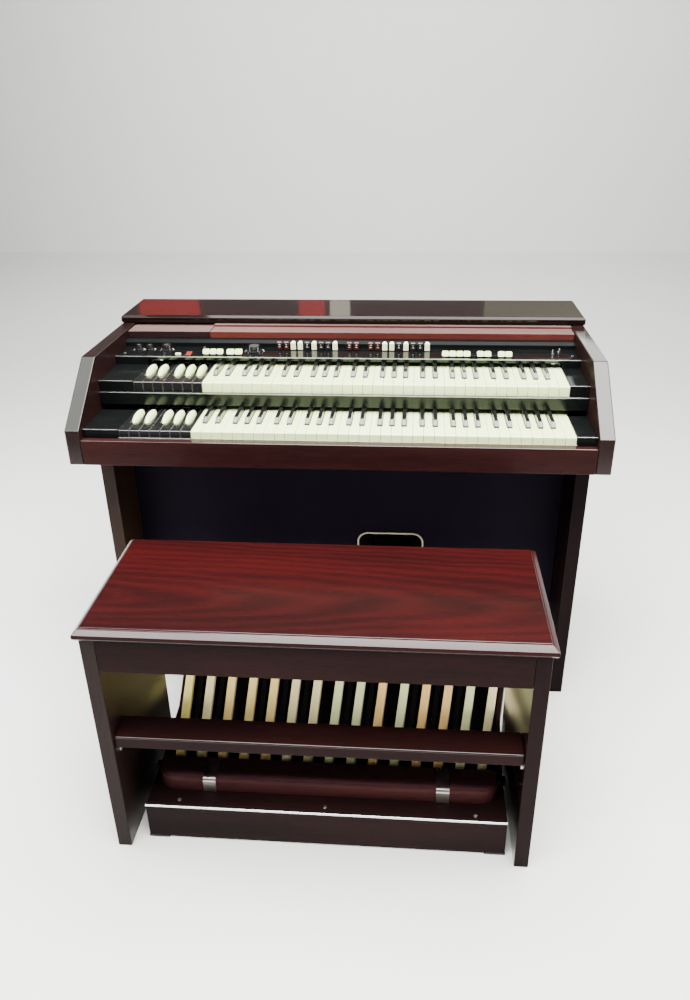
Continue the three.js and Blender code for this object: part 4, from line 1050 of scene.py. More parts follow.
for manual in ("lower", "upper"):
    low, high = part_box(manual + "_presets")
    naturals_low, naturals_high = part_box(manual + "_naturals")
    top = naturals_high.z
    front = naturals_low.y
    back = naturals_high.y
    left = low.x - half_gap
    rail_front = back - preset_rail_depth
    cap_places = [left + (after + 1 + offset) * natural_pitch for after, offset in octave_sharps]
    one_key = box_piece(
        "preset_natural",
        (left + half_gap, front, low.z),
        (left + natural_pitch - half_gap, back, top),
    )
    preset_keys = [one_key]
    for i in range(1, 7):
        preset_keys.append(copied(one_key, "preset_natural", (i * natural_pitch, 0, 0)))
    preset_rail = box_piece(
        "preset_rail",
        (left + half_gap, rail_front, low.z),
        (high.x, back, top - preset_rail_drop),
    )
    preset_naturals = join(preset_keys, manual + "_preset_naturals")
    notches = []
    for x in cap_places:
        notches.append(box_piece(
            "notch",
            (x - notch_half, front + notch_front_inset, low.z - notch_overrun),
            (x + notch_half, rail_front, top + notch_overrun),
        ))
    cut_with(preset_naturals, join(notches, "notches"))
    round_front(preset_naturals, front, top, front_roll)
    preset_naturals = join([preset_naturals, preset_rail], manual + "_preset_naturals")
    round_edges(preset_naturals, preset_edge_round, segments=2, angle=40)
    set_material(preset_naturals, preset_black, preset_edge_highlight)
    # Bevelled faces, which lie along no axis, get the painted edge highlight.
    for face in preset_naturals.data.polygons:
        face.material_index = int(max(abs(part) for part in face.normal) < 0.95)
    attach(preset_naturals, manual + "_presets")
    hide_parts(manual + "_presets")
    bpy.ops.object.select_all(action="DESELECT")
    bpy.ops.mesh.primitive_uv_sphere_add(segments=28, ring_count=16, radius=1, rotation=(math.pi / 2, 0, 0))
    bpy.ops.object.transform_apply(location=True, rotation=True, scale=True)
    first_cap = bpy.context.object
    swell = Matrix.Diagonal((cap_width / 2, cap_length / 2, cap_rise + cap_sink, 1))
    cap_base = top - cap_sink
    cap_middle = (0, front + cap_front_inset + cap_length / 2, cap_base)
    first_cap.data.transform(Matrix.Translation(cap_middle) @ swell)
    activate(first_cap)
    bpy.ops.object.mode_set(mode="EDIT")
    bpy.ops.mesh.select_all(action="SELECT")
    bpy.ops.mesh.bisect(plane_co=(0, 0, cap_base), plane_no=(0, 0, 1), use_fill=True, clear_inner=True)
    done()
    pick(first_cap, "FACE", lambda centre, normal: normal.z < -facing)
    draw_out(z=-cap_stem)
    done()
    smooth_faces(first_cap, angle=50)
    caps = [copied(first_cap, "preset_cap_copy", (x, 0, 0)) for x in cap_places]
    bpy.data.objects.remove(first_cap)
    preset_caps = join(caps, manual + "_preset_caps")
    set_material(preset_caps, ivory)
    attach(preset_caps, manual + "_presets")

# The control deck: a black gloss plate over the upper keys, folded down along its front edge, on an
# end block at each side. The drawbar box behind it is a slotted black housing.
deck_edge_round = 0.7 * mm
housing_edge_round = 0.5 * mm
deck = rounded_copy("control_deck", "control_deck_plate", deck_edge_round, segments=2)
set_material(deck, deck_black)
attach(deck, "console")
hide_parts("control_deck")
drawbar_box = rounded_copy("drawbar_box", "drawbar_housing", housing_edge_round, segments=2)
set_material(drawbar_box, housing_black)
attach(drawbar_box, "console")
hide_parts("drawbar_box")

# The drawbars: twenty flat black shafts that slide in the box, each with an upright moulded knob.
# The brown and black knobs carry a plain white number over a line, and the shafts nine fine lines.
knob_depth = 11 * mm
knob_slope = 3 * mm
knob_edge_round = 1.2 * mm
knob_rim = 1.8 * mm
knob_dish = 0.7 * mm
ivory_top_share = 0.72
ivory_shoulder = 3 * mm
shaft_half = 4 * mm
shaft_lift = 2.8 * mm
shaft_height = 4 * mm
shaft_overlap = 3 * mm
shaft_edge_round = 0.5 * mm
line_count = 9
line_lead = 9 * mm
line_pitch = 7 * mm
line_width = 0.5 * mm
line_sink = 0.1 * mm
line_rise = 0.12 * mm
long_line_half = 3.2 * mm
short_line_half = 2.0 * mm
number_height = 5.4 * mm
number_depth = 0.5 * mm
number_lift = 12.8 * mm
underline_half = 2.4 * mm
underline_lift = 6.6 * mm
underline_height = 0.9 * mm
underline_sink = 0.3 * mm
handling_width = 5 * mm
handling_depth = 0.05 * mm
ink_width = 0.5 * mm
knob_colours = {
    "drawbar_brown": ((0.024, 0.0058, 0.0042, 1), (0.044, 0.0110, 0.0078, 1)),
    "ivory": ((0.86, 0.86, 0.55, 1), (0.92, 0.93, 0.62, 1)),
    "gloss_black": ((0.006, 0.006, 0.006, 1), (0.012, 0.012, 0.012, 1)),
}
knob_finishes = {}
for name, (first_shade, second_shade) in knob_colours.items():
    knob_finishes[name], start = new_material("knob_" + name)
    handling = noise(object_place(start), handling_width, detail=3.0)
    close_surface(start, {
        "Base Color": blend(handling, first_shade, second_shade),
        "Roughness": 0.17 + handling * 0.16,
        "Normal": bump(handling, 0.05, handling_depth),
    })
mark_white, start = new_material("mark_white")
ink = noise(object_place(start), ink_width, detail=2.0)
close_surface(start, {
    "Base Color": blend(ink, (0.75, 0.75, 0.70, 1), (0.88, 0.88, 0.84, 1)),
    "Roughness": 0.5,
})
nine_tones = (
    "drawbar_brown", "drawbar_brown", "ivory", "ivory", "gloss_black",
    "ivory", "gloss_black", "gloss_black", "ivory",
)
nine_numbers = ("16", "5", "8", "4", "3", "2", "1", "1", "1")
pedal_numbers = ("16", "8")
drawbars = []
for group, count in (("upper_drawbar", 9), ("pedal_drawbar", 2), ("lower_drawbar", 9)):
    for i in range(count):
        numbers = pedal_numbers if group == "pedal_drawbar" else nine_numbers
        drawbars.append((f"{group}_{i + 1}", nine_tones[i], numbers[i]))


def flat_number(text, height, depth, place):
    """A number as a thin raised mesh, upright and facing the player, centred on a place."""
    bpy.ops.object.select_all(action="DESELECT")
    bpy.ops.object.text_add()
    written = bpy.context.object
    written.data.body = text
    written.data.size = height
    written.data.extrude = depth / 2
    written.data.align_x = "CENTER"
    written.data.align_y = "CENTER"
    written.data.resolution_u = 3
    bpy.ops.object.convert(target="MESH")
    written = bpy.context.object
    written.data.transform(Matrix.Translation(place) @ Matrix.Rotation(math.pi / 2, 4, "X"))
    return written


for node, tone, number in drawbars:
    low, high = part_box(node)
    middle = (low.x + high.x) / 2
    knob = box_piece(node + "_knob", (low.x, low.y, low.z), (high.x, low.y + knob_depth, high.z))
    round_front(knob, low.y, high.z, knob_slope, segments=1)
    if tone == "ivory":
        pick(knob, "FACE", lambda centre, normal: normal.z > facing)
        bpy.ops.transform.resize(value=(ivory_top_share, 1, 1), center_override=(middle, low.y, high.z))
        done()
        pick(knob, "EDGE", lambda centre, along: abs(along.y) > facing and centre.z > high.z - near)
        round_picked(ivory_shoulder, 4)
    else:
        pick(knob, "FACE", lambda centre, normal: normal.y < -facing)
        bpy.ops.mesh.inset(thickness=knob_rim, depth=0)
        bpy.ops.transform.translate(value=(0, knob_dish, 0))
        done()
    round_edges(knob, knob_edge_round, segments=3, angle=30)
    set_material(knob, knob_finishes[tone])
    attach(knob, node)
    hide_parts(node)
    knob_back = low.y + knob_depth
    shaft_z = low.z + shaft_lift
    shaft_top = shaft_z + shaft_height
    shaft = box_piece(
        node + "_shaft",
        (middle - shaft_half, knob_back - shaft_overlap, shaft_z),
        (middle + shaft_half, high.y, shaft_top),
    )
    round_edges(shaft, shaft_edge_round, segments=2)
    set_material(shaft, knob_finishes["gloss_black"])
    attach(shaft, node)
    lines = []
    for step in range(line_count):
        line_y = knob_back + line_lead + step * line_pitch
        line_half = long_line_half if step % 4 == 0 else short_line_half
        lines.append(box_piece(
            "shaft_line",
            (middle - line_half, line_y, shaft_top - line_sink),
            (middle + line_half, line_y + line_width, shaft_top + line_rise),
        ))
    if tone != "ivory":
        face_y = low.y + knob_dish
        number_place = (middle, face_y, low.z + number_lift)
        lines.append(flat_number(number, number_height, number_depth, number_place))
        underline_z = low.z + underline_lift
        lines.append(box_piece(
            "knob_line",
            (middle - underline_half, face_y - number_depth / 2, underline_z),
            (middle + underline_half, face_y + underline_sink, underline_z + underline_height),
        ))
    marks = join(lines, node + "_marks")
    set_material(marks, mark_white)
    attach(marks, node)

# The rocker tabs: ivory plastic plates with rounded corners and a shallow finger dip, leaning back
# on one black bar per bank. Five stand on the left and eight on the right.
tab_width = 16.3 * mm
wide_tab_width = 19.0 * mm
tab_lift = 2.4 * mm
tab_lean = 6 * mm
tab_thickness = 4 * mm
tab_corner = 3.0 * mm
tab_rim = 2.6 * mm
tab_dip = 0.9 * mm
tab_edge_round = 0.8 * mm
bar_inset = 1 * mm
bar_setback = 2 * mm
bar_depth = 4.6 * mm
bar_lift = 0.8 * mm
bar_height = 4.6 * mm
bar_edge_round = 0.8 * mm
# The left edges of each bank's tabs in millimetres, the narrow tabs first and then the wide ones.
tab_banks = {
    "left": ((-352.0, -334.7, -317.4), (-292.0, -272.0)),
    "right": ((240.0, 257.3, 274.6, 291.9, 324.7, 342.0, 374.8, 392.1), ()),
}
for bank, (narrow_edges, wide_edges) in tab_banks.items():
    low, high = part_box(bank + "_tabs")
    foot = deck_high.z + tab_lift
    for i, edge in enumerate(narrow_edges + wide_edges):
        width = tab_width if edge in narrow_edges else wide_tab_width
        left = edge * mm
        tab = box_piece(
            f"{bank}_tab_{i + 1}",
            (left, low.y, foot),
            (left + width, low.y + tab_thickness, high.z),
        )
        pick(tab, "EDGE", lambda centre, along: abs(along.y) > facing)
        round_picked(tab_corner, 4)
        pick(tab, "FACE", lambda centre, normal: normal.y < -facing)
        bpy.ops.mesh.inset(thickness=tab_rim, depth=0)
        bpy.ops.transform.translate(value=(0, tab_dip, 0))
        done()
        lean = tab_lean / (high.z - foot)
        slant = Matrix.Identity(4)
        slant[1][2] = lean
        slant[1][3] = -foot * lean
        tab.data.transform(slant)
        round_edges(tab, tab_edge_round, segments=3, angle=35)
        set_material(tab, ivory)
        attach(tab, bank + "_tabs")
        if i == 0:
            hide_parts(bank + "_tabs")
    bar = box_piece(
        bank + "_tab_bar",
        (low.x + bar_inset, low.y + bar_setback, deck_high.z + bar_lift),
        (high.x - bar_inset, low.y + bar_setback + bar_depth, deck_high.z + bar_lift + bar_height),
    )
    round_edges(bar, bar_edge_round, segments=2)
    set_material(bar, sharp_black)
    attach(bar, bank + "_tabs")

# The control knobs: turned black plastic with a skirt, fluted sides and a bright disc let into the
# top. A white arc with ticks is printed on the deck round each one.
flute_count = 24
flute_step = math.pi / flute_count
flute_depth = 0.8 * mm
skirt_height = 2.6 * mm
disc_well = 0.8 * mm
disc_gap = 0.3 * mm
disc_thickness = 1.0 * mm
disc_drop = 0.6 * mm
disc_dish = 0.35 * mm
disc_rim_share = 0.3
turned_edge_round = 0.35 * mm
pointer_half = 0.5 * mm
pointer_gap = 0.2 * mm
pointer_sink = 0.1 * mm
pointer_rise = 0.3 * mm
arc_gap = 2.2 * mm
arc_width = 0.7 * mm
arc_half = 0.05 * mm
print_sink = 0.1 * mm
print_rise = 0.12 * mm
tick_count = 11
tick_lead = 0.9 * mm
tick_length = 1.6 * mm
tick_half = 0.25 * mm
# Each knob's skirt beyond its body, and the share of the body that its disc takes.
knob_forms = {
    "chorus_knob": (6 * mm, 0.80),
    "volume_knob": (2.3 * mm, 0.5),
    "treble_knob": (2.3 * mm, 0.45),
    "bass_knob": (2.3 * mm, 0.45),
}
for node, (skirt_width, disc_share) in knob_forms.items():
    low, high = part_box(node)
    centre_x = (low.x + high.x) / 2
    centre_y = (low.y + high.y) / 2
    skirt_radius = (high.x - low.x) / 2
    skirt_top = low.z + skirt_height
    body_radius = skirt_radius - skirt_width
    skirt_middle = (centre_x, centre_y, low.z + skirt_height / 2)
    knob = cylinder(skirt_radius, skirt_height, flute_count * 2, middle=skirt_middle)
    pick(knob, "FACE", lambda centre, normal: normal.z > facing)
    bpy.ops.mesh.inset(thickness=skirt_width, depth=0)
    draw_out(z=high.z - skirt_top)
    bpy.ops.mesh.inset(thickness=body_radius * (1 - disc_share), depth=0)
    bpy.ops.transform.translate(value=(0, 0, -disc_well))
    done()
    inner = body_radius - flute_depth
    for corner in knob.data.vertices:
        if corner.co.z > skirt_top + merge_distance:
            away = Vector((corner.co.x - centre_x, corner.co.y - centre_y, 0))
            if away.length > inner and round(math.atan2(away.y, away.x) / flute_step) % 2:
                corner.co -= away.normalized() * flute_depth
    round_edges(knob, turned_edge_round, segments=2, angle=35)
    knob.name = node + "_turned"
    set_material(knob, sharp_black)
    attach(knob, node)
    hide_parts(node)
    disc_radius = body_radius * disc_share
    disc_middle = (centre_x, centre_y, high.z - disc_drop)
    disc = cylinder(disc_radius - disc_gap, disc_thickness, 40, middle=disc_middle)
    pick(disc, "FACE", lambda centre, normal: normal.z > facing)
    bpy.ops.mesh.inset(thickness=disc_radius * disc_rim_share, depth=disc_dish)
    done()
    smooth_faces(disc, angle=40)
    pointer = box_piece(
        "pointer",
        (centre_x - pointer_half, centre_y - skirt_radius + pointer_half, skirt_top - pointer_sink),
        (centre_x + pointer_half, centre_y - body_radius - pointer_gap, skirt_top + pointer_rise),
    )
    disc = join([disc, pointer], node + "_disc")
    set_material(disc, strip_metal)
    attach(disc, node)
    arc_radius = skirt_radius + arc_gap
    arc = box_piece(
        "scale_arc",
        (centre_x + arc_radius, centre_y - arc_half, deck_high.z - print_sink),
        (centre_x + arc_radius + arc_width, centre_y + arc_half, deck_high.z + print_rise),
    )
    pick(arc, "FACE", lambda centre, normal: normal.y > facing)
    bpy.ops.mesh.spin(steps=32, angle=-math.pi, center=(centre_x, centre_y, 0), axis=(0, 0, 1))
    bpy.ops.mesh.select_all(action="SELECT")
    bpy.ops.mesh.normals_make_consistent(inside=False)
    done()
    marks = [arc]
    for step in range(tick_count):
        turn = Matrix.Rotation(math.radians(-30 + step * 24), 4, "Z")
        tick = box_piece(
            "tick",
            (arc_radius + tick_lead, -tick_half, 0),
            (arc_radius + tick_lead + tick_length, tick_half, print_sink + print_rise),
        )
        tick.data.transform(Matrix.Translation((centre_x, centre_y, deck_high.z - print_sink)) @ turn)
        marks.append(tick)
    scale_marks = join(marks, node + "_scale")
    set_material(scale_marks, mark_white)
    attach(scale_marks, "console")

# The mains switch and its lamp: a red rocker in a well of the deck, with a small white pilot light
# beside it. Both are clipped in from above.
rocker_edge_round = 0.8 * mm
spot_width = 3 * mm
pilot_left = -421.7 * mm
pilot_width = 14 * mm
pilot_setback = 3 * mm
pilot_depth = 8 * mm
pilot_sink = 0.5 * mm
pilot_rise = 4 * mm
pilot_corner = 2.4 * mm
pilot_edge_round = 1.0 * mm
switch_low, switch_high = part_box("power_switch")
rocker = rounded_copy("power_switch", "power_rocker", rocker_edge_round, segments=3, angle=12)
lamp_red, start = new_material("lamp_red")
glow_spots = noise(object_place(start), spot_width, detail=2.0)
close_surface(start, {
    "Base Color": blend(glow_spots, (0.15, 0.014, 0.010, 1), (0.26, 0.034, 0.024, 1)),
    "Roughness": 0.18 + glow_spots * 0.08,
    "Coat Weight": 0.6,
    "Coat Roughness": 0.05,
})
set_material(rocker, lamp_red)
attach(rocker, "power_switch")
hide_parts("power_switch")
pilot_front = switch_low.y + pilot_setback
pilot = box_piece(
    "pilot_light",
    (pilot_left, pilot_front, deck_high.z - pilot_sink),
    (pilot_left + pilot_width, pilot_front + pilot_depth, deck_high.z + pilot_rise),
)
pick(pilot, "EDGE", lambda centre, along: abs(along.z) > facing)
round_picked(pilot_corner, 4)
round_edges(pilot, pilot_edge_round, segments=3, angle=35)
set_material(pilot, ivory)
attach(pilot, "console")

# Two miniature lever switches at the right end of the deck: a hexagonal nut on a threaded neck, and
# a tapered bright lever with a ball end.
lever_places = ((510.0 * mm, 231.0 * mm, -24), (527.0 * mm, 248.0 * mm, 24))
nut_radius = 4.6 * mm
nut_height = 2.2 * mm
nut_sink = 0.1 * mm
nut_edge_round = 0.25 * mm
neck_wall = 1.4 * mm
neck_height = 1.6 * mm
lever_foot_radius = 1.1 * mm
lever_tip_radius = 1.7 * mm
lever_length = 9 * mm
lever_lift = 2 * mm
ball_round = 1.2 * mm
for i, (x, y, degrees) in enumerate(lever_places):
    nut_middle = (x, y, deck_high.z + nut_height / 2 - nut_sink)
    nut = cylinder(nut_radius, nut_height, 6, middle=nut_middle)
    pick(nut, "FACE", lambda centre, normal: normal.z > facing)
    bpy.ops.mesh.inset(thickness=neck_wall, depth=0)
    draw_out(z=neck_height)
    done()
    round_edges(nut, nut_edge_round, segments=2)
    bpy.ops.object.select_all(action="DESELECT")
    bpy.ops.mesh.primitive_cone_add(
        vertices=16,
        radius1=lever_foot_radius,
        radius2=lever_tip_radius,
        depth=lever_length,
        location=(0, 0, lever_length / 2),
    )
    bpy.ops.object.transform_apply(location=True, rotation=True, scale=True)
    lever = bpy.context.object
    pick(lever, "EDGE", lambda centre, along: centre.z > lever_length - merge_distance)
    round_picked(ball_round, 4)
    smooth_faces(lever, angle=50)
    lean = Matrix.Rotation(math.radians(degrees), 4, "X")
    lever.data.transform(Matrix.Translation((x, y, deck_high.z + lever_lift)) @ lean)
    toggle = join([nut, lever], f"lever_switch_{i + 1}")
    set_material(toggle, strip_metal)
    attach(toggle, "console")

# The deck's screws: three domed steel heads with slots, turned down into the plate from above to
# hold it to its end blocks.
deck_screw_radius = 3.4 * mm
deck_screw_height = 1.6 * mm
deck_screw_places = (
    (-553.9 * mm, 209.6 * mm),
    (-362.9 * mm, 264.0 * mm),
    (555.2 * mm, 216.7 * mm),
)


def seats_on_top(places, top, turn):
    """The seats of upright screws, each with its slot turned further than the one before."""
    seats = []
    for i, (x, y) in enumerate(places):
        seats.append(Matrix.Translation((x, y, top - screw_sink)) @ Matrix.Rotation(i * turn, 4, "Z"))
    return seats


deck_seats = seats_on_top(deck_screw_places, deck_high.z, 1.1)
lay_screws("deck_screws", deck_screw_radius, deck_screw_height, deck_seats)

# The bench: a thick mahogany seat with a stepped moulding on all four sides, flat-sawn so that its
# rings arch along it, on two slab ends joined by an apron under the seat and a low shelf.
seat_edge_round = 1.4 * mm
seat_rings = (-420 * mm, 100 * mm, 0.085, 16 * mm)
end_edge_round = 2.0 * mm
board_rounds = {"apron": 1.8 * mm, "shelf": 3.4 * mm}
seat_red = (0.0105, 0.0014, 0.0016, 1)
seat_red_light = (0.030, 0.0024, 0.0024, 1)
bench_red = (0.0070, 0.0027, 0.0031, 1)
bench_red_light = (0.019, 0.0058, 0.0050, 1)
seat = rounded_copy("bench_top", "bench_seat", seat_edge_round, segments=3, angle=12)
seat_wood = lacquered_wood(
    "seat_wood", "X", seat_red, seat_red_light, gloss=0.20, clear=0.85, ring_heart=seat_rings
)
seat_side_wood = lacquered_wood("seat_side_wood", "X", seat_red, seat_red_light, gloss=0.26)
set_material(seat, seat_wood, seat_side_wood)
for face in seat.data.polygons:
    face.material_index = int(abs(face.normal.z) < 0.3)
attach(seat, "bench")
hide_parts("bench_top")
# Both ends are one wood: the left one's colours are lighter as painted light, and the right one's darker as
# painted shade.
end_lit_and_shaded_tones = {
    "left": ((0.0085, 0.0046, 0.0044, 1), (0.019, 0.0095, 0.0080, 1), 0.10, 0.4, 0.24),
    "right": ((0.0048, 0.0018, 0.0024, 1), (0.0125, 0.0042, 0.0046, 1), 0.03, 1.0, 0.14),
}
for side, (deep, light, clear, flank_clear, flank_gloss) in end_lit_and_shaded_tones.items():
    end_wood = lacquered_wood(f"{side}_end_wood", "Z", deep, light, gloss=0.08, clear=clear)
    end_flank_wood = lacquered_wood(
        f"{side}_flank_wood", "Z", deep, light, gloss=flank_gloss, clear=flank_clear
    )
    end = rounded_copy(f"bench_{side}_end", f"bench_{side}_slab", end_edge_round, segments=4)
    set_material(end, end_wood, end_flank_wood)
    for face in end.data.polygons:
        face.material_index = int(abs(face.normal.x) > facing)
    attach(end, "bench")
    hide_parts(f"bench_{side}_end")
board_wood = lacquered_wood("bench_board_wood", "X", bench_red, bench_red_light, gloss=0.08, clear=0.03)
worn_edge_wood = lacquered_wood("worn_edge_wood", "X", bench_red, bench_red_light, gloss=0.12, clear=1.0)
for part, edge_round in board_rounds.items():
    board = rounded_copy("bench_" + part, f"bench_{part}_board", edge_round, segments=4)
    set_material(board, board_wood, worn_edge_wood)
    for face in board.data.polygons:
        face.material_index = int(part == "shelf" and face.normal.y < -0.25 and face.normal.z > 0.15)
    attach(board, "bench")
    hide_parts("bench_" + part)

# The shelf's fittings: a small steel angle at each side, which lies flat under the shelf and is
# screwed to the slab end through its upright leg.
shelf_low, shelf_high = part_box("bench_shelf")
bracket_width = 16 * mm
bracket_setback = 20 * mm
upright_thickness = 2 * mm
upright_drop = 26 * mm
flange_length = 22 * mm
flange_drop = 2.2 * mm
bracket_screw_radius = 3.2 * mm
bracket_screw_height = 1.5 * mm
bracket_screw_drop = 15 * mm
bracket_top = shelf_low.z - seat_gap
for side, x, inward in (("left", shelf_low.x, 1), ("right", shelf_high.x, -1)):
    y = shelf_low.y + bracket_setback
    upright_x = x + inward * upright_thickness
    flange_x = x + inward * flange_length
    upright = box_piece(
        "bracket_upright",
        (min(x, upright_x), y, shelf_low.z - upright_drop),
        (max(x, upright_x), y + bracket_width, bracket_top),
    )
    flange = box_piece(
        "bracket_flange",
        (min(x, flange_x), y, shelf_low.z - flange_drop),
        (max(x, flange_x), y + bracket_width, bracket_top),
    )
    head = screw_head(bracket_screw_radius, bracket_screw_height)
    sideways = Matrix.Rotation(inward * math.pi / 2, 4, "Y")
    head_x = upright_x - inward * screw_sink
    head_seat = (head_x, y + bracket_width / 2, shelf_low.z - bracket_screw_drop)
    head.data.transform(Matrix.Translation(head_seat) @ sideways)
    bracket = join([upright, flange, head], f"shelf_{side}_bracket")
    smooth_faces(bracket)
    set_material(bracket, screw_steel)
    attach(bracket, "bench")

# The pedalboard's case: dark lacquered boards with a box at the front, splayed walls and a back rail. A
# near-black board closes it from below as painted shade between the pedals, a bright nosing edges the
# box, and two rubber foot plates lie under its front corners.
case_red = (0.0060, 0.0028, 0.0032, 1)
case_red_light = (0.0165, 0.0068, 0.0064, 1)
case_corner_round = 1.4 * mm
box_left = -385 * mm
box_right = 389 * mm
pedal_middle_x = (box_left + box_right) / 2
bottom_low_z = 7 * mm
bottom_high_z = 9 * mm
bottom_front_y = -352 * mm
bottom_back_y = 122 * mm
bottom_front_half = 374 * mm
bottom_back_half = 432 * mm
bottom_edge_round = 0.4 * mm
fibre_width = 1.2 * mm
fibre_depth = 0.1 * mm
nosing_out = 1.4 * mm
nosing_depth = 5.9 * mm
nosing_drop = 4.6 * mm
nosing_rise = 1.0 * mm
nosing_round = 1.8 * mm
polish_width = 1.0 * mm
pit_width = 2.5 * mm
foot_out_x = 1 * mm
foot_out_y = 1.2 * mm
foot_width = 43 * mm
foot_depth = 59.2 * mm
foot_low_z = 2.2 * mm
foot_high_z = 5.6 * mm
foot_edge_round = 0.8 * mm
pedal_wood = lacquered_wood("pedal_case_wood", "X", case_red, case_red_light, gloss=0.10, clear=0.03)
case_low, case_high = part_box("pedal_case")
pedal_case = rounded_copy("pedal_case", "pedal_case_boards", case_corner_round, segments=3)
set_material(pedal_case, pedal_wood)
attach(pedal_case, "console")
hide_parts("pedal_case")
box_top = case_high.z
# The board's near-black is painted shade: it fills the gaps between the pedals with dark.
painted_shade_black, start = new_material("painted_shade_board_black")
fibres = noise(object_place(start), fibre_width, detail=3.0)
close_surface(start, {
    "Base Color": blend(fibres, (0.0018, 0.0018, 0.0020, 1), (0.0045, 0.0042, 0.0042, 1)),
    "Roughness": 0.85,
    "Specular IOR Level": 0.05,
    "Normal": bump(fibres, 0.3, fibre_depth),
})
shade_board = box_piece(
    "shade_board_under_pedals",
    (pedal_middle_x - bottom_front_half, bottom_front_y, bottom_low_z),
    (pedal_middle_x + bottom_front_half, bottom_back_y, bottom_high_z),
)
pick(shade_board, "FACE", lambda centre, normal: normal.y > facing)
bpy.ops.transform.resize(
    value=(bottom_back_half / bottom_front_half, 1, 1),
    center_override=(pedal_middle_x, bottom_back_y, bottom_low_z),
)
done()
round_edges(shade_board, bottom_edge_round, segments=1)
set_material(shade_board, painted_shade_black)
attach(shade_board, "console")
chrome, start = new_material("chrome")
place = object_place(start)
polish = noise(place, polish_width, (0.03, 1, 1), detail=2.0)
pits = ease(noise(place, pit_width, detail=2.0), 0.70, 0.78)
close_surface(start, {
    "Base Color": blend(pits * 0.5, (0.86, 0.87, 0.88, 1), (0.45, 0.42, 0.38, 1)),
    "Metallic": 1.0,
    "Roughness": 0.13 + polish * 0.12 + pits * 0.2,
})
nose = box_piece(
    "box_nosing",
    (box_left, case_low.y - nosing_out, box_top - nosing_drop),
    (box_right, case_low.y - nosing_out + nosing_depth, box_top + nosing_rise),
)
pick(nose, "EDGE", lambda centre, along: abs(along.x) > facing and centre.y < case_low.y)
round_picked(nosing_round, 5)
smooth_faces(nose, angle=50)
set_material(nose, chrome)
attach(nose, "console")
foot_lefts = {"left": box_left - foot_out_x, "right": box_right + foot_out_x - foot_width}
foot_front = case_low.y - foot_out_y
for side, x in foot_lefts.items():
    foot_plate = box_piece(
        f"{side}_foot_plate",
        (x, foot_front, foot_low_z),
        (x + foot_width, foot_front + foot_depth, foot_high_z),
    )
    round_edges(foot_plate, foot_edge_round, segments=3)
    set_material(foot_plate, rubber)
    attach(foot_plate, "console")

# The long pedals: fifteen bars of clear-lacquered maple, rounded along their top edges and fanned
# out from the player's heels, on one dark heel rail that lies across under them.
heel_pitch = 48.4 * mm
fan_radius = 1996 * mm
bars_low, bars_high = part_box("pedal_naturals")
heel_y = -390.25 * mm
bar_width = 20 * mm
bar_bottom = 101 * mm
pedal_round = 2.4 * mm
pedal_edge_round = 0.8 * mm
heel_rail_inset = 41 * mm
rail_clearance = 0.1 * mm
ebony_grain_width = 3 * mm
ebony_grain_depth = 0.12 * mm
heel_rail_depth = 16 * mm
pedal_rail_round = 1 * mm
maple_grain_width = 3.0 * mm
maple_grain_depth = 0.12 * mm
fleck_width = 1.0 * mm
curl_width = 26 * mm
maple_tints = {
    "cream": ((0.88, 0.74, 0.36, 1), (0.95, 0.85, 0.46, 1)),
    "tan": ((0.90, 0.64, 0.20, 1), (0.97, 0.76, 0.30, 1)),
    "green": ((0.77, 0.80, 0.38, 1), (0.86, 0.88, 0.48, 1)),
    "yellow": ((0.88, 0.70, 0.16, 1), (0.95, 0.82, 0.26, 1)),
    "orange": ((0.93, 0.56, 0.17, 1), (1.0, 0.68, 0.26, 1)),
}
maple_finishes = {}
for tint, (deep, light) in maple_tints.items():
    maple_finishes[tint], start = new_material("maple_" + tint)
    place = object_place(start)
    grain = noise(place, maple_grain_width, (1, 0.05, 1), detail=3.0)
    fleck = ease(noise(place, fleck_width, (1, 0.06, 1), detail=1.0), 0.62, 0.75)
    curl = noise(place, curl_width, detail=2.0)
    wood_tone = ease(grain * 0.65 + curl * 0.35, 0.3, 0.7)
    fleck_shade = tuple(channel * 0.55 for channel in deep[:3]) + (1,)
    close_surface(start, {
        "Base Color": blend(fleck * 0.35, blend(wood_tone, deep, light), fleck_shade),
        "Roughness": 0.32 + grain * 0.14,
        "Coat Weight": 0.5,
        "Coat Roughness": 0.16,
        "Normal": bump(grain, 0.12, maple_grain_depth),
    })
pedal_tints = (
    "yellow", "cream", "tan", "tan", "tan", "cream", "cream", "green", "green", "orange",
    "green", "orange", "orange", "green", "cream",
)
first_bar = box_piece(
    "long_pedal",
    (-bar_width / 2, heel_y, bar_bottom),
    (bar_width / 2, bars_high.y, bars_high.z),
)
pick(first_bar, "EDGE", lambda centre, along: centre.z > bars_high.z - near)
round_picked(pedal_round, 4)
round_edges(first_bar, pedal_edge_round, segments=2, angle=50)


def fan_slant(pitches):
    """The matrix that sets a straight bar on its line of the fan, its ends still square to the case."""
    slant = Matrix.Identity(4)
    slope = pitches * heel_pitch / fan_radius
    slant[0][1] = slope
    slant[0][3] = pedal_middle_x + pitches * heel_pitch - slope * heel_y
    return slant


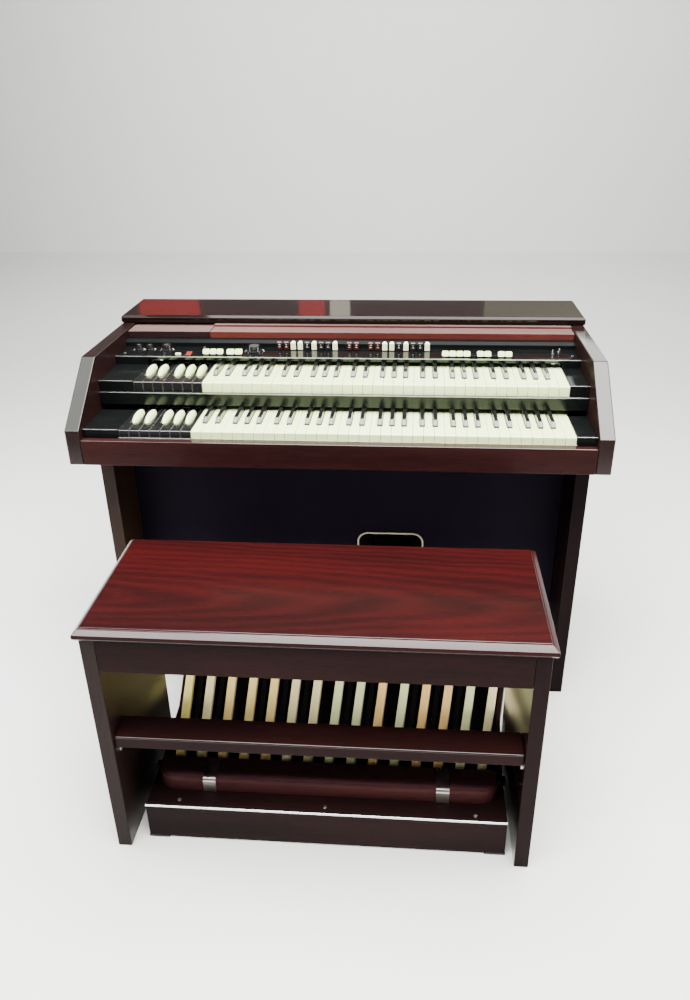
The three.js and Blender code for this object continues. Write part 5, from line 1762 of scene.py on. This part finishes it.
for i, tint in enumerate(pedal_tints):
    long_pedal = copied(first_bar, f"long_pedal_{i + 1:02d}", fan_slant(i - 7))
    set_material(long_pedal, maple_finishes[tint])
    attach(long_pedal, "pedal_naturals")
    if i == 0:
        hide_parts("pedal_naturals")
bpy.data.objects.remove(first_bar)
heel_rail = box_piece(
    "heel_rail",
    (bars_low.x + heel_rail_inset, bars_low.y, bars_low.z),
    (bars_high.x - heel_rail_inset, bars_low.y + heel_rail_depth, bar_bottom - rail_clearance),
)
round_edges(heel_rail, pedal_rail_round, segments=2)
ebonised, start = new_material("ebonised_wood")
place = object_place(start)
grain = noise(place, ebony_grain_width, (1, 0.08, 1), detail=3.0)
close_surface(start, {
    "Base Color": blend(grain, (0.0012, 0.0012, 0.0018, 1), (0.0032, 0.0030, 0.0040, 1)),
    "Roughness": 0.40 + grain * 0.2,
    "Specular IOR Level": 0.08,
    "Normal": bump(grain, 0.15, ebony_grain_depth),
})
set_material(heel_rail, ebonised)
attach(heel_rail, "pedal_naturals")

# The raised pedals: ten ebonised blocks at the toe end, each on a low stem that runs back between
# the long pedals to a rail of its own.
sharps_low, sharps_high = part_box("pedal_sharps")
stem_bottom = 82 * mm
stem_top = 108 * mm
stem_half = 6 * mm
stem_edge_round = 1.2 * mm
block_half = 9.5 * mm
block_length = 180 * mm
block_overlap = 12 * mm
block_nose_round = 14 * mm
block_edge_round = 3.0 * mm
stem_rail_inset = 30 * mm
stem_rail_depth = 12 * mm
stem_rail_overlap = 1 * mm
block_front = sharps_high.y - block_length
first_block = box_piece(
    "raised_pedal_block",
    (-block_half, block_front, stem_top - block_overlap),
    (block_half, sharps_high.y, sharps_high.z),
)
round_front(first_block, block_front, sharps_high.z, block_nose_round, segments=6)
round_edges(first_block, block_edge_round, segments=4, angle=40)
first_stem = box_piece(
    "raised_pedal_stem",
    (-stem_half, sharps_low.y, stem_bottom),
    (stem_half, sharps_high.y, stem_top),
)
round_edges(first_stem, stem_edge_round, segments=2)
number = 0
for octave in (0, 7):
    for after, offset in octave_sharps:
        number += 1
        slant = fan_slant(octave + after + 0.5 - 7)
        pair = [copied(first_block, "block_copy", slant), copied(first_stem, "stem_copy", slant)]
        raised_pedal = join(pair, f"raised_pedal_{number:02d}")
        set_material(raised_pedal, ebonised)
        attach(raised_pedal, "pedal_sharps")
        if number == 1:
            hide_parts("pedal_sharps")
bpy.data.objects.remove(first_block)
bpy.data.objects.remove(first_stem)
stem_rail = box_piece(
    "stem_rail",
    (sharps_low.x + stem_rail_inset, sharps_low.y, sharps_low.z),
    (sharps_high.x - stem_rail_inset, sharps_low.y + stem_rail_depth, stem_bottom + stem_rail_overlap),
)
round_edges(stem_rail, pedal_rail_round, segments=2)
set_material(stem_rail, ebonised)
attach(stem_rail, "pedal_sharps")

# The heel block: a lacquered mahogany block with round front corners, screwed down on the front box,
# where the player's heels rest, held by two bent steel straps.
heel_red = (0.042, 0.0150, 0.0165, 1)
heel_red_light = (0.085, 0.0280, 0.0250, 1)
# The top faces take much lighter colours than the sides: painted light on the top of a block that lies
# under the shelf.
heel_painted_lit_top = (0.120, 0.0480, 0.0600, 1)
heel_painted_lit_top_light = (0.200, 0.0800, 0.0900, 1)
heel_edge_round = 1.2 * mm
strap_edge_round = 0.4 * mm
rolling_width = 0.8 * mm
rolling_depth = 0.05 * mm
rust_width = 55 * mm
heel_block = rounded_copy("heel_block", "heel_rest_block", heel_edge_round, segments=3, angle=40)
heel_wood = lacquered_wood("heel_wood", "X", heel_red, heel_red_light, gloss=0.16, clear=0.10)
heel_lit_top_wood = lacquered_wood("heel_lit_top_wood", "X", heel_painted_lit_top, heel_painted_lit_top_light, gloss=0.3)
set_material(heel_block, heel_wood, heel_lit_top_wood)
# Upward faces get the painted light.
for face in heel_block.data.polygons:
    face.material_index = int(face.normal.z > 0.95)
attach(heel_block, "console")
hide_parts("heel_block")
strap_steel, start = new_material("strap_steel")
place = object_place(start)
rolling = noise(place, rolling_width, (1, 0.06, 0.06), detail=2.0)
rust = ease(noise(place, rust_width, detail=1.0), 0.30, 0.90)
close_surface(start, {
    "Base Color": blend(rust * 0.5, (0.50, 0.45, 0.43, 1), (0.26, 0.17, 0.13, 1)),
    "Metallic": 1.0 - rust * 0.3,
    "Roughness": 0.22 + rolling * 0.12 + rust * 0.25,
    "Normal": bump(rolling, 0.1, rolling_depth),
})
for side in ("left", "right"):
    strap = rounded_copy(side + "_strap", side + "_bent_strap", strap_edge_round, segments=2, angle=40)
    set_material(strap, strap_steel)
    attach(strap, "console")
    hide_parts(side + "_strap")

# Round-headed screws of the pedalboard: three along the ledge in front of the heel block, and one
# in front of each end of the heel rail.
ledge_screw_radius = 4.2 * mm
ledge_screw_height = 2.6 * mm
ledge_places = (
    (322.8 * mm, -494.6 * mm),
    (3.7 * mm, -491.6 * mm),
    (-313.4 * mm, -491.1 * mm),
    (380.0 * mm, -398.0 * mm),
    (-376.0 * mm, -393.0 * mm),
)
ledge_seats = seats_on_top(ledge_places, box_top, 0.8)
lay_screws("ledge_screws", ledge_screw_radius, ledge_screw_height, ledge_seats)
